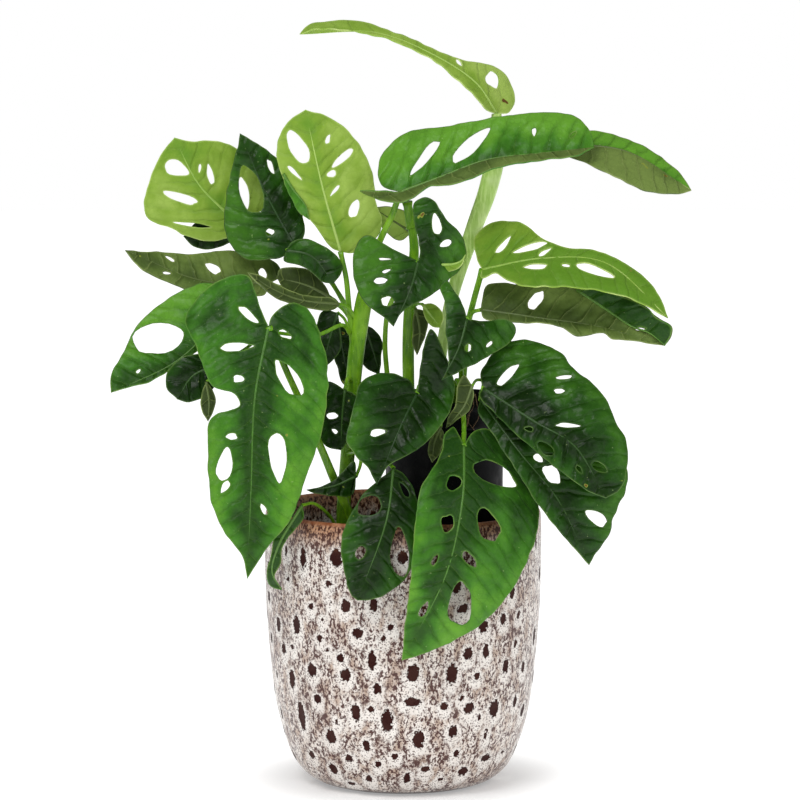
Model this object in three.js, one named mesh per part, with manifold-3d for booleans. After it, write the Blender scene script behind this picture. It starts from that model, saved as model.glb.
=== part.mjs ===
// Monstera adansonii (Swiss cheese vine) in its black nursery pot, standing in a glazed cover pot.
// Millimetres, +Z up. The origin is the centre of the cover pot's foot, on the floor.
// Every blade is a 0.8 mm sheet with its real cut edge and holes; stems stand in plain holes in the mix.
import * as THREE from 'three';
import { mergeVertices } from 'three/addons/utils/BufferGeometryUtils.js';
import Module from 'manifold-3d';

const wasm = await Module();
wasm.setup();

// ---- driving dimensions ---------------------------------------------------------------------
const CLEARANCE = 0.3;
const SLIVER = 0.02;          // detail finer than this is dropped after a cut
const BLADE = 0.8;            // blade thickness
const FACET = 34;             // longest edge kept in a blade
const ARC = 13;               // longest stretch of cut edge drawn as one straight line
const POT = { height: 200, radius: 100, wall: 6, floor: 9, foot: 56 };
const NURSERY = { x: 30, y: 12, foot: 165.6, height: 114, base: 41, rim: 49, wall: 1.6 };
const MIX_TOP = 165;          // mix packed round and under the nursery pot
const SOIL_TOP = 268;         // soil inside the nursery pot

// The foliage is laid out in front elevation, on the plane through the pot's axis, as it is sighted
// from a point in front of the plant; `depth` then carries a point back (+) or forward (-) along its
// line of sight, so the elevation keeps its outline whatever the depth.
const SIGHT = { x: -2.2, distance: 3000, height: 621 };

const sighted = (x, z, depth) => {
  const scale = (SIGHT.distance + depth) / SIGHT.distance;
  return new THREE.Vector3(
    SIGHT.x + (x - SIGHT.x) * scale,
    depth,
    SIGHT.height + (z - SIGHT.height) * scale,
  );
};

// ---- finishes -------------------------------------------------------------------------------
const finish = (color, roughness) => new THREE.MeshStandardMaterial({ color, roughness, metalness: 0 });
const GLAZE = finish(0xcfc6b8, 0.25);
const BLACK_PLASTIC = finish(0x15171b, 0.5);
const SOIL = finish(0x3a2b20, 0.95);
const STEM = finish(0x6f9a2e, 0.45);
const TONES = {
  young: finish(0x8fb83a, 0.42),
  mid: finish(0x4c8a2c, 0.38),
  dark: finish(0x1f5326, 0.36),
  olive: finish(0x5f6b35, 0.55),
};

// ---- solids ---------------------------------------------------------------------------------
const group = new THREE.Group();
group.name = 'monstera_adansonii';

const addMesh = (name, geometry, material) => {
  geometry.computeVertexNormals();
  const mesh = new THREE.Mesh(geometry, material);
  mesh.name = name;
  group.add(mesh);
};

const welded = (geometry) => {
  const plain = geometry.clone();
  plain.deleteAttribute('normal');
  plain.deleteAttribute('uv');
  return mergeVertices(plain, 1e-4);
};

const toManifold = (geometry) => {
  const plain = welded(geometry);
  return new wasm.Manifold(new wasm.Mesh({
    numProp: 3,
    vertProperties: new Float32Array(plain.attributes.position.array),
    triVerts: new Uint32Array(plain.index.array),
  }));
};

const fromManifold = (solid) => {
  const mesh = solid.getMesh();
  const geometry = new THREE.BufferGeometry();
  geometry.setAttribute('position', new THREE.BufferAttribute(new Float32Array(mesh.vertProperties), 3));
  geometry.setIndex(new THREE.BufferAttribute(new Uint32Array(mesh.triVerts), 1));
  return geometry;
};

// A closed turned profile, from [radius, z] pairs running up the outside and down the inside.
const turned = (profile, segments) => {
  const points = profile.map(([radius, z]) => new THREE.Vector2(radius, z));
  points.push(points[0].clone());
  const geometry = new THREE.LatheGeometry(points, segments);
  geometry.rotateX(Math.PI / 2);
  return geometry;
};

// A round rod along a smooth route of [x, z, depth] points; a leaf's name stands for its blade's base.
const rod = (route, radius, sides = 4) => {
  const bladeBase = (leaf) => LEAVES.find(({ name }) => name === leaf).midrib[0];
  const stops = route.map((stop) => (typeof stop === 'string' ? bladeBase(stop) : stop));
  const path = new THREE.CatmullRomCurve3(stops.map((stop) => sighted(...stop)));
  const round = new THREE.Shape();
  round.absarc(0, 0, radius, 0, 2 * Math.PI);
  const steps = Math.max(3, Math.round(path.getLength() / 16));
  return new THREE.ExtrudeGeometry(round, {
    steps, curveSegments: sides, bevelEnabled: false, extrudePath: path,
  });
};

// ---- leaf blades ----------------------------------------------------------------------------
// A blade is two halves either side of its midrib. Each half has its outline in elevation, from the
// base to the tip, a `lean` (depth gained per millimetre out from the midrib) and a `cup` (how much
// that changes, per 100 mm), so that a half can stand back, come forward or roll.
const midribOf = (blade) => new THREE.CatmullRomCurve3(
  blade.midrib.map(([x, z, depth]) => new THREE.Vector3(x, z, depth)),
);

const depthIn = (blade, half) => {
  const stations = midribOf(blade).getPoints(24);
  const base = stations[0];
  const tip = stations[24];
  const chord = new THREE.Vector2(tip.x - base.x, tip.y - base.y);
  const length = chord.length();
  chord.normalize();
  const local = stations.map((p) => ({
    along: (p.x - base.x) * chord.x + (p.y - base.y) * chord.y,
    across: -(p.x - base.x) * chord.y + (p.y - base.y) * chord.x,
    depth: p.z,
  }));
  return (x, z) => {
    const along = (x - base.x) * chord.x + (z - base.y) * chord.y;
    const across = -(x - base.x) * chord.y + (z - base.y) * chord.x;
    let i = 0;
    while (i < 23 && local[i + 1].along < along) i += 1;
    const a = local[i];
    const b = local[i + 1];
    const t = (along - a.along) / Math.max(b.along - a.along, 1e-6);
    const k = Math.max(-3, Math.min(t, 4));
    const line = a.across + (b.across - a.across) * Math.max(0, Math.min(t, 1));
    const out = Math.abs(across - line);
    const wave = half.wave ? half.wave * Math.sin((along / length) * 4 * Math.PI) * (out / 30) : 0;
    return a.depth + (b.depth - a.depth) * k + half.lean * out + (half.cup ?? 0) * out * out / 100 + wave;
  };
};

const holeRing = ([x, z, long, short, tilt], sides = 8) => {
  const turn = THREE.MathUtils.degToRad(tilt);
  const ring = new THREE.EllipseCurve(x, z, long, short, 0, 2 * Math.PI, false, turn);
  return ring.getPoints(long > 6 ? sides : 6).slice(0, -1);
};

// Splits every edge longer than FACET, with both of its triangles, so that a bent half stays smooth.
const refine = (points, triangles) => {
  const length = (i, j) => points[i].distanceTo(points[j]);
  for (let guard = 0; guard < 400; guard += 1) {
    let worst = null;
    let longest = FACET;
    triangles.forEach((tri) => {
      for (let k = 0; k < 3; k += 1) {
        const i = tri[k];
        const j = tri[(k + 1) % 3];
        if (length(i, j) > longest) {
          longest = length(i, j);
          worst = [i, j];
        }
      }
    });
    if (!worst) return triangles;
    const [i, j] = worst;
    const middle = points.push(points[i].clone().add(points[j]).multiplyScalar(0.5)) - 1;
    triangles = triangles.flatMap((tri) => {
      if (!tri.includes(i) || !tri.includes(j)) return [tri];
      return [tri.map((v) => (v === i ? middle : v)), tri.map((v) => (v === j ? middle : v))];
    });
  }
  return triangles;
};

// The cut edge runs as a smooth curve through its points, with one more point on each long stretch.
const cutEdge = (spine, edge) => {
  const through = [spine[0], ...edge.map(([x, z]) => new THREE.Vector2(x, z)), spine[spine.length - 1]];
  const curve = new THREE.CatmullRomCurve3(
    through.map((p) => new THREE.Vector3(p.x, p.y, 0)), false, 'centripetal',
  );
  const last = through.length - 1;
  return through.slice(0, -1).flatMap((point, i) => {
    const middle = curve.getPoint((i + 0.5) / last);
    const stretch = point.distanceTo(through[i + 1]) > ARC ? [new THREE.Vector2(middle.x, middle.y)] : [];
    return i === 0 ? stretch : [point, ...stretch];
  });
};

const halfMesh = (blade, half) => {
  const rib = midribOf(blade);
  const reach = rib.getLength();
  const stations = reach > 150 ? 8 : reach > 70 ? 6 : 4;
  const spine = rib.getPoints(stations).map((p) => new THREE.Vector2(p.x, p.y));
  const edge = cutEdge(spine, half.edge);
  const contour = [...spine, ...edge.reverse()];
  const holes = (half.holes ?? []).map((hole) => holeRing(hole));
  if (THREE.ShapeUtils.isClockWise(contour)) contour.reverse();
  holes.forEach((ring) => {
    if (!THREE.ShapeUtils.isClockWise(ring)) ring.reverse();
  });
  const triangles = THREE.ShapeUtils.triangulateShape(contour, holes);
  const points = [contour, ...holes].flat().map((p) => p.clone());
  return { points, triangles: refine(points, triangles), depth: depthIn(blade, half) };
};

const bladeGeometry = (blade, thickness, grow = 0) => {
  const places = [];
  const normals = [];
  const faces = [];
  const index = new Map();
  const vertex = (point, depth) => {
    const key = `${point.x.toFixed(3)},${point.y.toFixed(3)},${depth(point.x, point.y).toFixed(2)}`;
    if (!index.has(key)) {
      index.set(key, places.push(sighted(point.x, point.y, depth(point.x, point.y))) - 1);
      normals.push(new THREE.Vector3());
    }
    const step = 0.5;
    const across = sighted(point.x + step, point.y, depth(point.x + step, point.y));
    const up = sighted(point.x, point.y + step, depth(point.x, point.y + step));
    const here = places[index.get(key)];
    normals[index.get(key)].add(across.sub(here).cross(up.sub(here)).normalize());
    return index.get(key);
  };
  blade.halves.forEach((half) => {
    const { points, triangles, depth } = halfMesh(blade, half);
    triangles.forEach((tri) => faces.push(tri.map((v) => vertex(points[v], depth))));
  });
  const edges = new Map();
  faces.forEach(([a, b, c]) => {
    [[a, b], [b, c], [c, a]].forEach(([i, j]) => edges.set(`${i},${j}`, [i, j]));
  });
  const rim = [...edges.values()].filter(([i, j]) => !edges.has(`${j},${i}`));
  normals.forEach((normal) => normal.normalize());
  const outward = places.map(() => new THREE.Vector3());
  rim.forEach(([i, j]) => {
    const away = places[j].clone().sub(places[i]).cross(normals[i]).normalize();
    outward[i].add(away);
    outward[j].add(away);
  });
  const half = thickness / 2;
  const count = places.length;
  const grown = places.map((p, i) => p.clone().add(outward[i].setLength(grow)));
  const front = grown.map((p, i) => p.clone().addScaledVector(normals[i], half));
  const back = grown.map((p, i) => p.clone().addScaledVector(normals[i], -half));
  const solid = [
    ...faces,
    ...faces.map(([a, b, c]) => [a + count, c + count, b + count]),
    ...rim.flatMap(([i, j]) => [[j, i, i + count], [j, i + count, j + count]]),
  ];
  const geometry = new THREE.BufferGeometry();
  geometry.setFromPoints([...front, ...back]);
  geometry.setIndex(solid.flat());
  return geometry;
};

// Blades, each with its midrib as [x, z, depth] from base to tip and its two halves.
const LEAVES = [
  {
    name: 'leaf_crest', tone: 'young',
    midrib: [[67, 484, 28], [52, 506, 18], [20, 527, 8], [-20, 542, -2], [-74, 541, -12]],
    halves: [
      { lean: -1.2, edge: [[60, 487], [49, 499], [38, 509], [20, 523], [0, 533], [-20, 540],
        [-60, 545]] },
      {
        lean: 1.2,
        edge: [[76, 485], [80, 495], [76, 507], [66, 517], [40, 523], [20, 531], [-5, 542], [-38, 551],
          [-68, 547]],
        holes: [[64, 508, 6, 4.5, 120], [40, 520.5, 3, 1.2, -50]],
      },
    ],
  },
  {
    name: 'leaf_upper', tone: 'mid',
    midrib: [[-2, 428, -12], [25, 438, -14], [60, 451, -16], [100, 456, -16], [137, 460, -14]],
    halves: [
      {
        lean: -1.2,
        edge: [[-14, 428.5], [-31, 429], [-16, 422], [2, 421], [20, 432], [36, 433], [55, 440],
          [75, 447], [104, 451],
          [125, 454]],
      },
      {
        lean: 0.7,
        edge: [[-14, 431.5], [-18, 442], [-16, 453], [-8, 463], [4, 471], [30, 475], [70, 482],
          [105, 485], [125, 481],
          [134, 471]],
        holes: [[15.5, 452.5, 15, 3.6, 51], [49, 461.5, 18, 5, 43], [94, 471, 3, 1.5, 90],
          [122, 469, 3, 1.3, 45]],
      },
    ],
  },
  {
    name: 'leaf_upper_right', tone: 'olive',
    midrib: [[115, 462, 12], [160, 457, 4], [207, 429, -6]],
    halves: [
      { lean: -1.2, edge: [[112, 456], [120, 453], [150, 440], [168, 431], [182, 427], [200, 427]] },
      { lean: 1.2, edge: [[116, 470], [134, 472], [160, 466], [182, 455], [200, 440]] },
    ],
  },
  {
    name: 'leaf_upright', tone: 'young',
    midrib: [[-45, 385, -8], [-58, 432, 0], [-70, 487, 4]],
    halves: [
      {
        lean: 0.15,
        edge: [[-52, 388], [-62, 402], [-73, 415], [-84, 432], [-90, 450], [-90, 464], [-83, 478]],
        holes: [[-76, 461, 13, 6, 118], [-78, 442, 7, 1.4, 135]],
      },
      {
        lean: 0.25,
        edge: [[-36, 386], [-26, 395], [-20, 410], [-19, 424], [-25, 446], [-34, 465], [-48, 479]],
        holes: [[-54, 466, 3.5, 1.5, 70], [-44, 452, 10, 2.6, 42], [-51.5, 441, 3.5, 2.2, 20],
          [-49, 429, 5, 1.2, 50], [-35, 416, 7, 3.4, 70]],
      },
    ],
  },
  {
    name: 'leaf_left_high', tone: 'young',
    midrib: [[-124, 410, 26], [-147, 434, 30], [-164, 467, 26]],
    halves: [
      {
        lean: 0.15,
        edge: [[-122, 397], [-134, 393], [-150, 394], [-165, 401], [-183, 409], [-186, 419], [-181, 439],
          [-173, 456]],
        holes: [[-162, 445, 9, 5.5, -20], [-160, 424, 13, 3.2, -18], [-152, 404.5, 13, 1.4, -7]],
      },
      {
        lean: 0.15,
        edge: [[-110, 412], [-97, 418], [-97, 436], [-108, 447], [-119, 459], [-137, 465], [-150, 464]],
        holes: [[-115, 427, 12, 4.5, 95], [-138.5, 441, 7.5, 2.2, 102], [-146, 445, 3, 1, 85]],
      },
    ],
  },
  {
    name: 'leaf_left_dark', tone: 'dark',
    midrib: [[-79, 391, 0], [-97, 424, 10], [-117, 470, 14]],
    halves: [
      {
        lean: -0.08,
        edge: [[-86, 382], [-100, 379], [-113, 380], [-122, 387], [-128, 402], [-127, 425], [-120, 456]],
        holes: [[-110, 430, 17, 8, 105], [-95.5, 399, 3, 2.4, 0]],
      },
      {
        lean: 0.4,
        edge: [[-72, 394], [-72, 408], [-80, 430], [-88, 449], [-102, 461]],
        holes: [[-95, 446, 5.5, 1.8, 110]],
      },
    ],
  },
  {
    name: 'leaf_left_lobe', tone: 'dark',
    midrib: [[-84, 386, -11], [-66, 382, -14], [-50, 362, -14]],
    halves: [
      { lean: 0.15, edge: [[-80, 392], [-70, 394], [-56, 388], [-46, 380], [-44, 371]] },
      { lean: 0.15, edge: [[-86, 379], [-74, 375], [-64, 369], [-57, 363]] },
    ],
  },
  {
    name: 'leaf_left_under', tone: 'dark',
    midrib: [[-120, 400, 37], [-138, 397, 37], [-158, 396, 36]],
    halves: [
      { lean: 0.1, edge: [[-128, 410], [-148, 407]] },
      { lean: 0.1, edge: [[-124, 392], [-140, 387], [-151, 389]] },
    ],
  },
  {
    name: 'leaf_left_olive', tone: 'olive',
    midrib: [[-96, 362, 6], [-145, 364, 0], [-200, 386, -10]],
    halves: [
      {
        lean: 0.8,
        edge: [[-88, 368], [-93, 378], [-110, 383], [-124, 386], [-150, 383], [-180, 385]],
        holes: [[-137, 373, 6, 3, -35], [-101, 369, 4, 2.6, 110], [-168, 380, 4, 1.2, -30]],
      },
      {
        lean: -0.8,
        edge: [[-100, 354], [-130, 353], [-157, 358], [-171, 363], [-190, 374]],
        holes: [[-170, 369.5, 3, 1, -5]],
      },
    ],
  },
  {
    name: 'leaf_far_left', tone: 'mid',
    midrib: [[-130, 338, -30], [-163, 306, -38], [-211, 283, -50]],
    halves: [
      {
        lean: 0.4,
        edge: [[-126, 350], [-138, 362], [-157, 358], [-180, 343], [-193, 330], [-202, 312], [-211, 295]],
        holes: [[-176, 322, 19, 11, 8], [-191, 298.5, 2, 1, 40]],
      },
      { lean: -0.3, edge: [[-134, 322], [-150, 312], [-168, 300], [-182, 291], [-200, 286]] },
    ],
  },
  {
    name: 'leaf_big_left', tone: 'mid',
    midrib: [[-97, 331, -62], [-107, 280, -80], [-110, 215, -94], [-113, 147, -98]],
    halves: [
      {
        lean: -0.1, cup: 0.2,
        edge: [[-103, 344], [-113, 368], [-135, 363], [-150, 349], [-157, 335], [-150, 318], [-144, 301],
          [-137, 287],
          [-124, 283], [-118, 274], [-139, 264], [-141, 240], [-139, 205], [-130, 182], [-117, 164]],
        holes: [[-120, 316, 12, 3, 4], [-111, 339, 9, 2.6, -40], [-118.5, 293, 4, 2.8, 0],
          [-124, 251, 4, 2.4, 0],
          [-129, 231, 12, 5.5, 80], [-129, 214, 5, 2.4, 55]],
      },
      {
        lean: 0.08,
        edge: [[-95, 338], [-86, 346], [-77, 348], [-68, 343], [-61, 328], [-55, 305], [-55, 278],
          [-60, 250],
          [-70, 222], [-82, 190], [-100, 168]],
        holes: [[-85, 325, 5, 2.4, -30], [-83, 294, 15, 6.5, -55], [-90.5, 236, 19, 6.5, 93],
          [-101, 198, 4.5, 1.8, -62]],
      },
    ],
  },
  {
    name: 'leaf_heart', tone: 'dark',
    midrib: [[11, 378, -28], [5, 357, -33], [-7, 331, -42]],
    halves: [
      {
        lean: 0.05,
        edge: [[3, 382], [-14, 391], [-25, 397], [-34, 389], [-36, 374], [-33, 358], [-26, 347],
          [-16, 339]],
        holes: [[-13, 379.6, 4.5, 0.8, 0], [-12, 371, 3, 1.1, 20], [-16, 364, 5, 2.3, 4],
          [-11, 349, 4.5, 3.6, 0]],
      },
      {
        lean: -0.12, cup: 0.9,
        edge: [[12, 386], [9, 402], [8, 420], [14, 424], [23, 421], [31, 409], [41, 398], [45, 388],
          [43, 376], [32, 364], [20, 353], [8, 347], [-1, 341]],
        holes: [[24, 405, 7.5, 3.2, 98], [30.5, 391, 4.5, 2.4, 25]],
      },
    ],
  },
  {
    name: 'leaf_behind_heart', tone: 'olive',
    midrib: [[6, 399, 16], [-8, 408, 18], [-22, 417, 18]],
    halves: [
      { lean: 0.2, edge: [[5, 411], [-6, 417]] },
      { lean: 0.2, edge: [[-1, 393], [-15, 402]] },
    ],
  },
  {
    name: 'leaf_right', tone: 'young',
    midrib: [[57, 372, -20], [100, 380, -30], [145, 377, -32], [191, 337, -34]],
    halves: [
      {
        lean: 0.9,
        edge: [[53, 380], [52, 396], [66, 406], [86, 405], [100, 395], [118, 388], [138, 386],
          [155, 379], [172, 368],
          [184, 354]],
        holes: [[72.5, 390, 7.5, 2, 50], [91, 387.8, 12, 2.4, 17], [102, 384.5, 5, 1.5, 32]],
      },
      {
        lean: -1,
        edge: [[56, 366], [66, 369], [76, 364], [88, 360], [110, 359.5], [130, 358], [150, 355],
          [170, 348]],
        holes: [[95, 374, 8, 2, 2], [117, 375, 3, 1.2, -10], [139, 371, 14, 3.2, -17]],
      },
    ],
  },
  {
    name: 'leaf_right_olive', tone: 'olive',
    midrib: [[56, 343, -15], [100, 337, -25], [140, 331, -28], [189, 317, -35]],
    halves: [
      {
        lean: 0.6,
        edge: [[57, 352], [61, 361], [90, 361], [130, 359], [155, 354], [174, 346], [184, 337],
          [194, 331], [194, 325]],
        holes: [[96, 350, 8, 4, 55], [185, 329.5, 4, 2, 10], [171, 329, 3.5, 1, 0]],
      },
      { lean: -0.8, edge: [[58, 337], [78, 334], [113, 331], [124, 324], [145, 326], [150, 322],
        [162, 321]] },
    ],
  },
  {
    name: 'leaf_centre_right', tone: 'dark',
    midrib: [[46, 336, -52], [40, 315, -64], [28, 292, -76]],
    halves: [
      { lean: 0.05, edge: [[44, 344], [37, 357], [31, 364], [27, 360], [30, 348], [31, 328], [33, 306]] },
      {
        lean: 0.2,
        edge: [[60, 335], [75, 336], [81, 330], [79, 322], [66, 312], [48, 302], [36, 296]],
        holes: [[62, 318, 3, 1.2, 45], [47, 315.5, 3, 2, 70]],
      },
    ],
  },
  {
    name: 'leaf_centre', tone: 'dark',
    midrib: [[10, 282, -58], [-1, 260, -75], [-19, 216, -98]],
    halves: [
      {
        lean: -0.05,
        edge: [[4, 292], [-8, 297], [-21, 296], [-31, 289], [-35, 275], [-39, 260], [-41, 248],
          [-33, 236], [-24, 225]],
        holes: [[-18, 254, 6, 2.6, 12]],
      },
      {
        lean: 0.02,
        edge: [[12, 298], [15, 316], [20, 329], [26, 322], [33, 303], [37, 288], [35, 272], [26, 257],
          [15, 245],
          [4, 238], [-10, 230]],
      },
    ],
  },
  {
    name: 'leaf_centre_low', tone: 'dark',
    midrib: [[-42, 285, -40], [-44, 265, -45], [-45, 241, -50]],
    halves: [
      { lean: 0.1, edge: [[-54, 291], [-60, 276], [-61, 256], [-56, 244]], holes: [[-51, 266, 4, 2.4, 0],
        [-49.5, 255, 2.4, 1.4, -40]] },
      { lean: 0.1, edge: [[-36, 282], [-29, 272], [-36, 258], [-41, 246]] },
    ],
  },
  {
    name: 'leaf_front', tone: 'dark',
    midrib: [[-7, 228, -84], [-12, 190, -108], [-33, 131, -115]],
    halves: [
      {
        lean: 0.08,
        edge: [[-14, 222], [-28, 210], [-37, 196], [-45, 174], [-42, 150], [-38, 136]],
        holes: [[-25, 200, 9, 7, 30], [-31, 166, 5, 3.4, 60]],
      },
      {
        lean: 0.12,
        edge: [[2, 222], [9, 208], [11, 185], [8, 160], [3, 149], [-6, 140], [-22, 132]],
        holes: [[-2.5, 167, 18, 6.5, 92], [1, 212, 6, 2, -62]],
      },
    ],
  },
  {
    name: 'leaf_big_front', tone: 'mid',
    midrib: [[44, 244, -74], [43, 205, -103], [31, 150, -119], [-1, 87, -118]],
    halves: [
      {
        lean: -0.15,
        edge: [[41, 251], [36, 258], [31, 254], [28, 241], [22, 228], [13, 214], [9, 190], [6, 155],
          [2, 118]],
        holes: [[36.5, 217, 6, 5, 50], [32, 187, 6.5, 4.4, 80], [23, 161, 4.5, 1.8, 62],
          [15, 124.5, 6, 2.6, 62]],
      },
      {
        lean: 0.4,
        edge: [[48, 251], [56, 257], [68, 253], [82, 236], [93, 216], [98, 200], [97, 180], [92, 165],
          [80, 141],
          [64, 121], [45, 106], [20, 94]],
        holes: [[67, 223, 17, 7.5, -26], [61, 187, 13, 7, -66], [48, 161, 7, 3.4, -52],
          [41.5, 130, 16.5, 8.5, 84]],
      },
    ],
  },
  {
    name: 'leaf_right_big', tone: 'dark',
    midrib: [[58, 286, -58], [95, 262, -80], [124, 244, -90], [147, 206, -96]],
    halves: [
      {
        lean: -0.2,
        edge: [[55, 281], [62, 272], [80, 254], [100, 237], [120, 221], [134, 211]],
        holes: [[91, 256.5, 3, 1.5, -10], [103, 242.5, 7, 3.6, -38], [127.5, 227, 3.4, 1.3, -55]],
      },
      {
        lean: 0.45,
        edge: [[56, 296], [62, 308], [75, 319], [88, 321], [102, 318], [115, 311], [123, 300],
          [134, 292], [147, 278],
          [153, 262], [161, 248], [162, 232], [158, 213]],
        holes: [[76, 296, 11, 3.2, 46], [116, 294, 6, 1.4, 6], [113, 284, 4, 1.8, 0],
          [120, 259, 9, 1.6, -3],
          [142, 228.5, 6, 3, -28]],
      },
    ],
  },
  {
    name: 'leaf_right_low', tone: 'dark',
    midrib: [[56, 278, -48], [84, 240, -75], [112, 205, -84], [135, 157, -80]],
    halves: [
      { lean: -0.4, edge: [[54, 270], [61, 258], [75, 237], [92, 210], [105, 192], [120, 174]] },
      {
        lean: 0.3,
        edge: [[66, 278], [95, 258], [125, 238], [150, 235], [162, 228], [161, 212], [153, 194],
          [149, 179], [140, 166]],
        holes: [[98, 235, 4, 2.4, -40], [108, 223, 8, 5, -50], [139.5, 192, 8.5, 4.4, -32]],
      },
    ],
  },
  {
    name: 'leaf_right_lobe', tone: 'olive',
    midrib: [[50, 288, -60], [44, 273, -57], [31, 257, -52]],
    halves: [
      { lean: 0.1, edge: [[44, 296], [40, 290], [38, 275], [32, 264]] },
      { lean: 0.1, edge: [[51, 279], [47, 269], [38, 262]] },
    ],
  },
  {
    name: 'leaf_pot_back', tone: 'olive',
    midrib: [[27, 258, -56], [23, 247, -60], [21, 232, -62]],
    halves: [
      { lean: 0.1, edge: [[21, 252], [18, 240]] },
      { lean: 0.1, edge: [[30, 252], [27, 240]] },
    ],
  },
  {
    name: 'leaf_over_rim', tone: 'mid',
    midrib: [[-73, 201, -80], [-90, 172, -74], [-95, 152, -68], [-88, 139, -62]],
    halves: [
      { lean: 0.2, edge: [[-77, 195], [-92, 179], [-96, 164], [-99, 150], [-95, 141]] },
      { lean: 0.2, edge: [[-72, 192], [-80, 181], [-87, 171], [-89, 158], [-93, 149]] },
    ],
  },
  {
    name: 'leaf_crumpled', tone: 'dark',
    midrib: [[-137, 302, -48], [-152, 295, -50], [-163, 278, -52]],
    halves: [
      { lean: 0.2, edge: [[-146, 311], [-160, 308], [-170, 298], [-171, 287]] },
      { lean: -0.3, edge: [[-135, 290], [-145, 279], [-156, 276]] },
    ],
  },
  {
    name: 'leaf_crumpled_tip', tone: 'olive',
    midrib: [[-142, 291, -58], [-140, 276, -60], [-141, 262, -60]],
    halves: [
      { lean: 0.2, edge: [[-145, 284], [-146, 272]] },
      { lean: 0.2, edge: [[-137, 284], [-136, 272]] },
    ],
  },
  {
    name: 'leaf_rolled_edge', tone: 'olive',
    midrib: [[-46, 347, -14], [-74, 350, -20], [-94, 358, -24], [-112, 370, -28]],
    halves: [
      { lean: 0.5, edge: [[-50, 351], [-72, 353.5], [-90, 361], [-104, 368]] },
      { lean: -0.5, edge: [[-50, 343], [-74, 345], [-94, 353], [-106, 363]] },
    ],
  },
  {
    name: 'leaf_left_inner', tone: 'olive',
    midrib: [[-52, 352, -4], [-70, 361, -2], [-91, 366, 0]],
    halves: [
      { lean: 0.3, edge: [[-57, 362], [-66, 371], [-78, 374], [-89, 372]] },
      { lean: 0.1, edge: [[-65, 351], [-84, 356]] },
    ],
  },
  {
    name: 'leaf_shade_left', tone: 'dark',
    midrib: [[-47, 341, -16], [-53, 322, -17], [-58, 300, -18]],
    halves: [
      { lean: 0.1, edge: [[-58, 342], [-63, 324], [-62, 308]] },
      { lean: 0.1, edge: [[-45, 330], [-46, 312]], holes: [] },
    ],
  },
  {
    name: 'leaf_shade_middle', tone: 'dark',
    midrib: [[-28, 332, 7], [-22, 315, 8], [-17, 296, 8]],
    halves: [
      { lean: 0.2, edge: [[-22, 330], [-15, 320], [-16, 306]] },
      { lean: 0.2, edge: [[-32, 318], [-29, 303]] },
    ],
  },
  {
    name: 'leaf_small_olive', tone: 'olive',
    midrib: [[9, 344, -7], [12, 328, -9], [10, 310, -10]],
    halves: [
      { lean: 0.1, edge: [[7.5, 338], [7, 318]] },
      { lean: 0.3, edge: [[15, 342], [18, 331], [13, 317]] },
    ],
  },
  {
    name: 'leaf_small_bright', tone: 'young',
    midrib: [[14, 347, -14], [20, 339, -16], [27, 330, -17]],
    halves: [
      { lean: 0.3, edge: [[22, 347], [29, 338]] },
      { lean: 0.1, edge: [[15, 340], [21, 331]] },
    ],
  },
  {
    name: 'leaf_over_back_rim', tone: 'dark',
    midrib: [[-34, 222, -60], [-50, 215, -64], [-70, 212, -66]],
    halves: [
      { lean: 0.2, edge: [[-36, 233], [-43, 226], [-50, 219], [-60, 214.5]] },
      { lean: 0.2, edge: [[-36, 209], [-52, 208], [-64, 209.5]] },
    ],
  },
];

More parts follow.
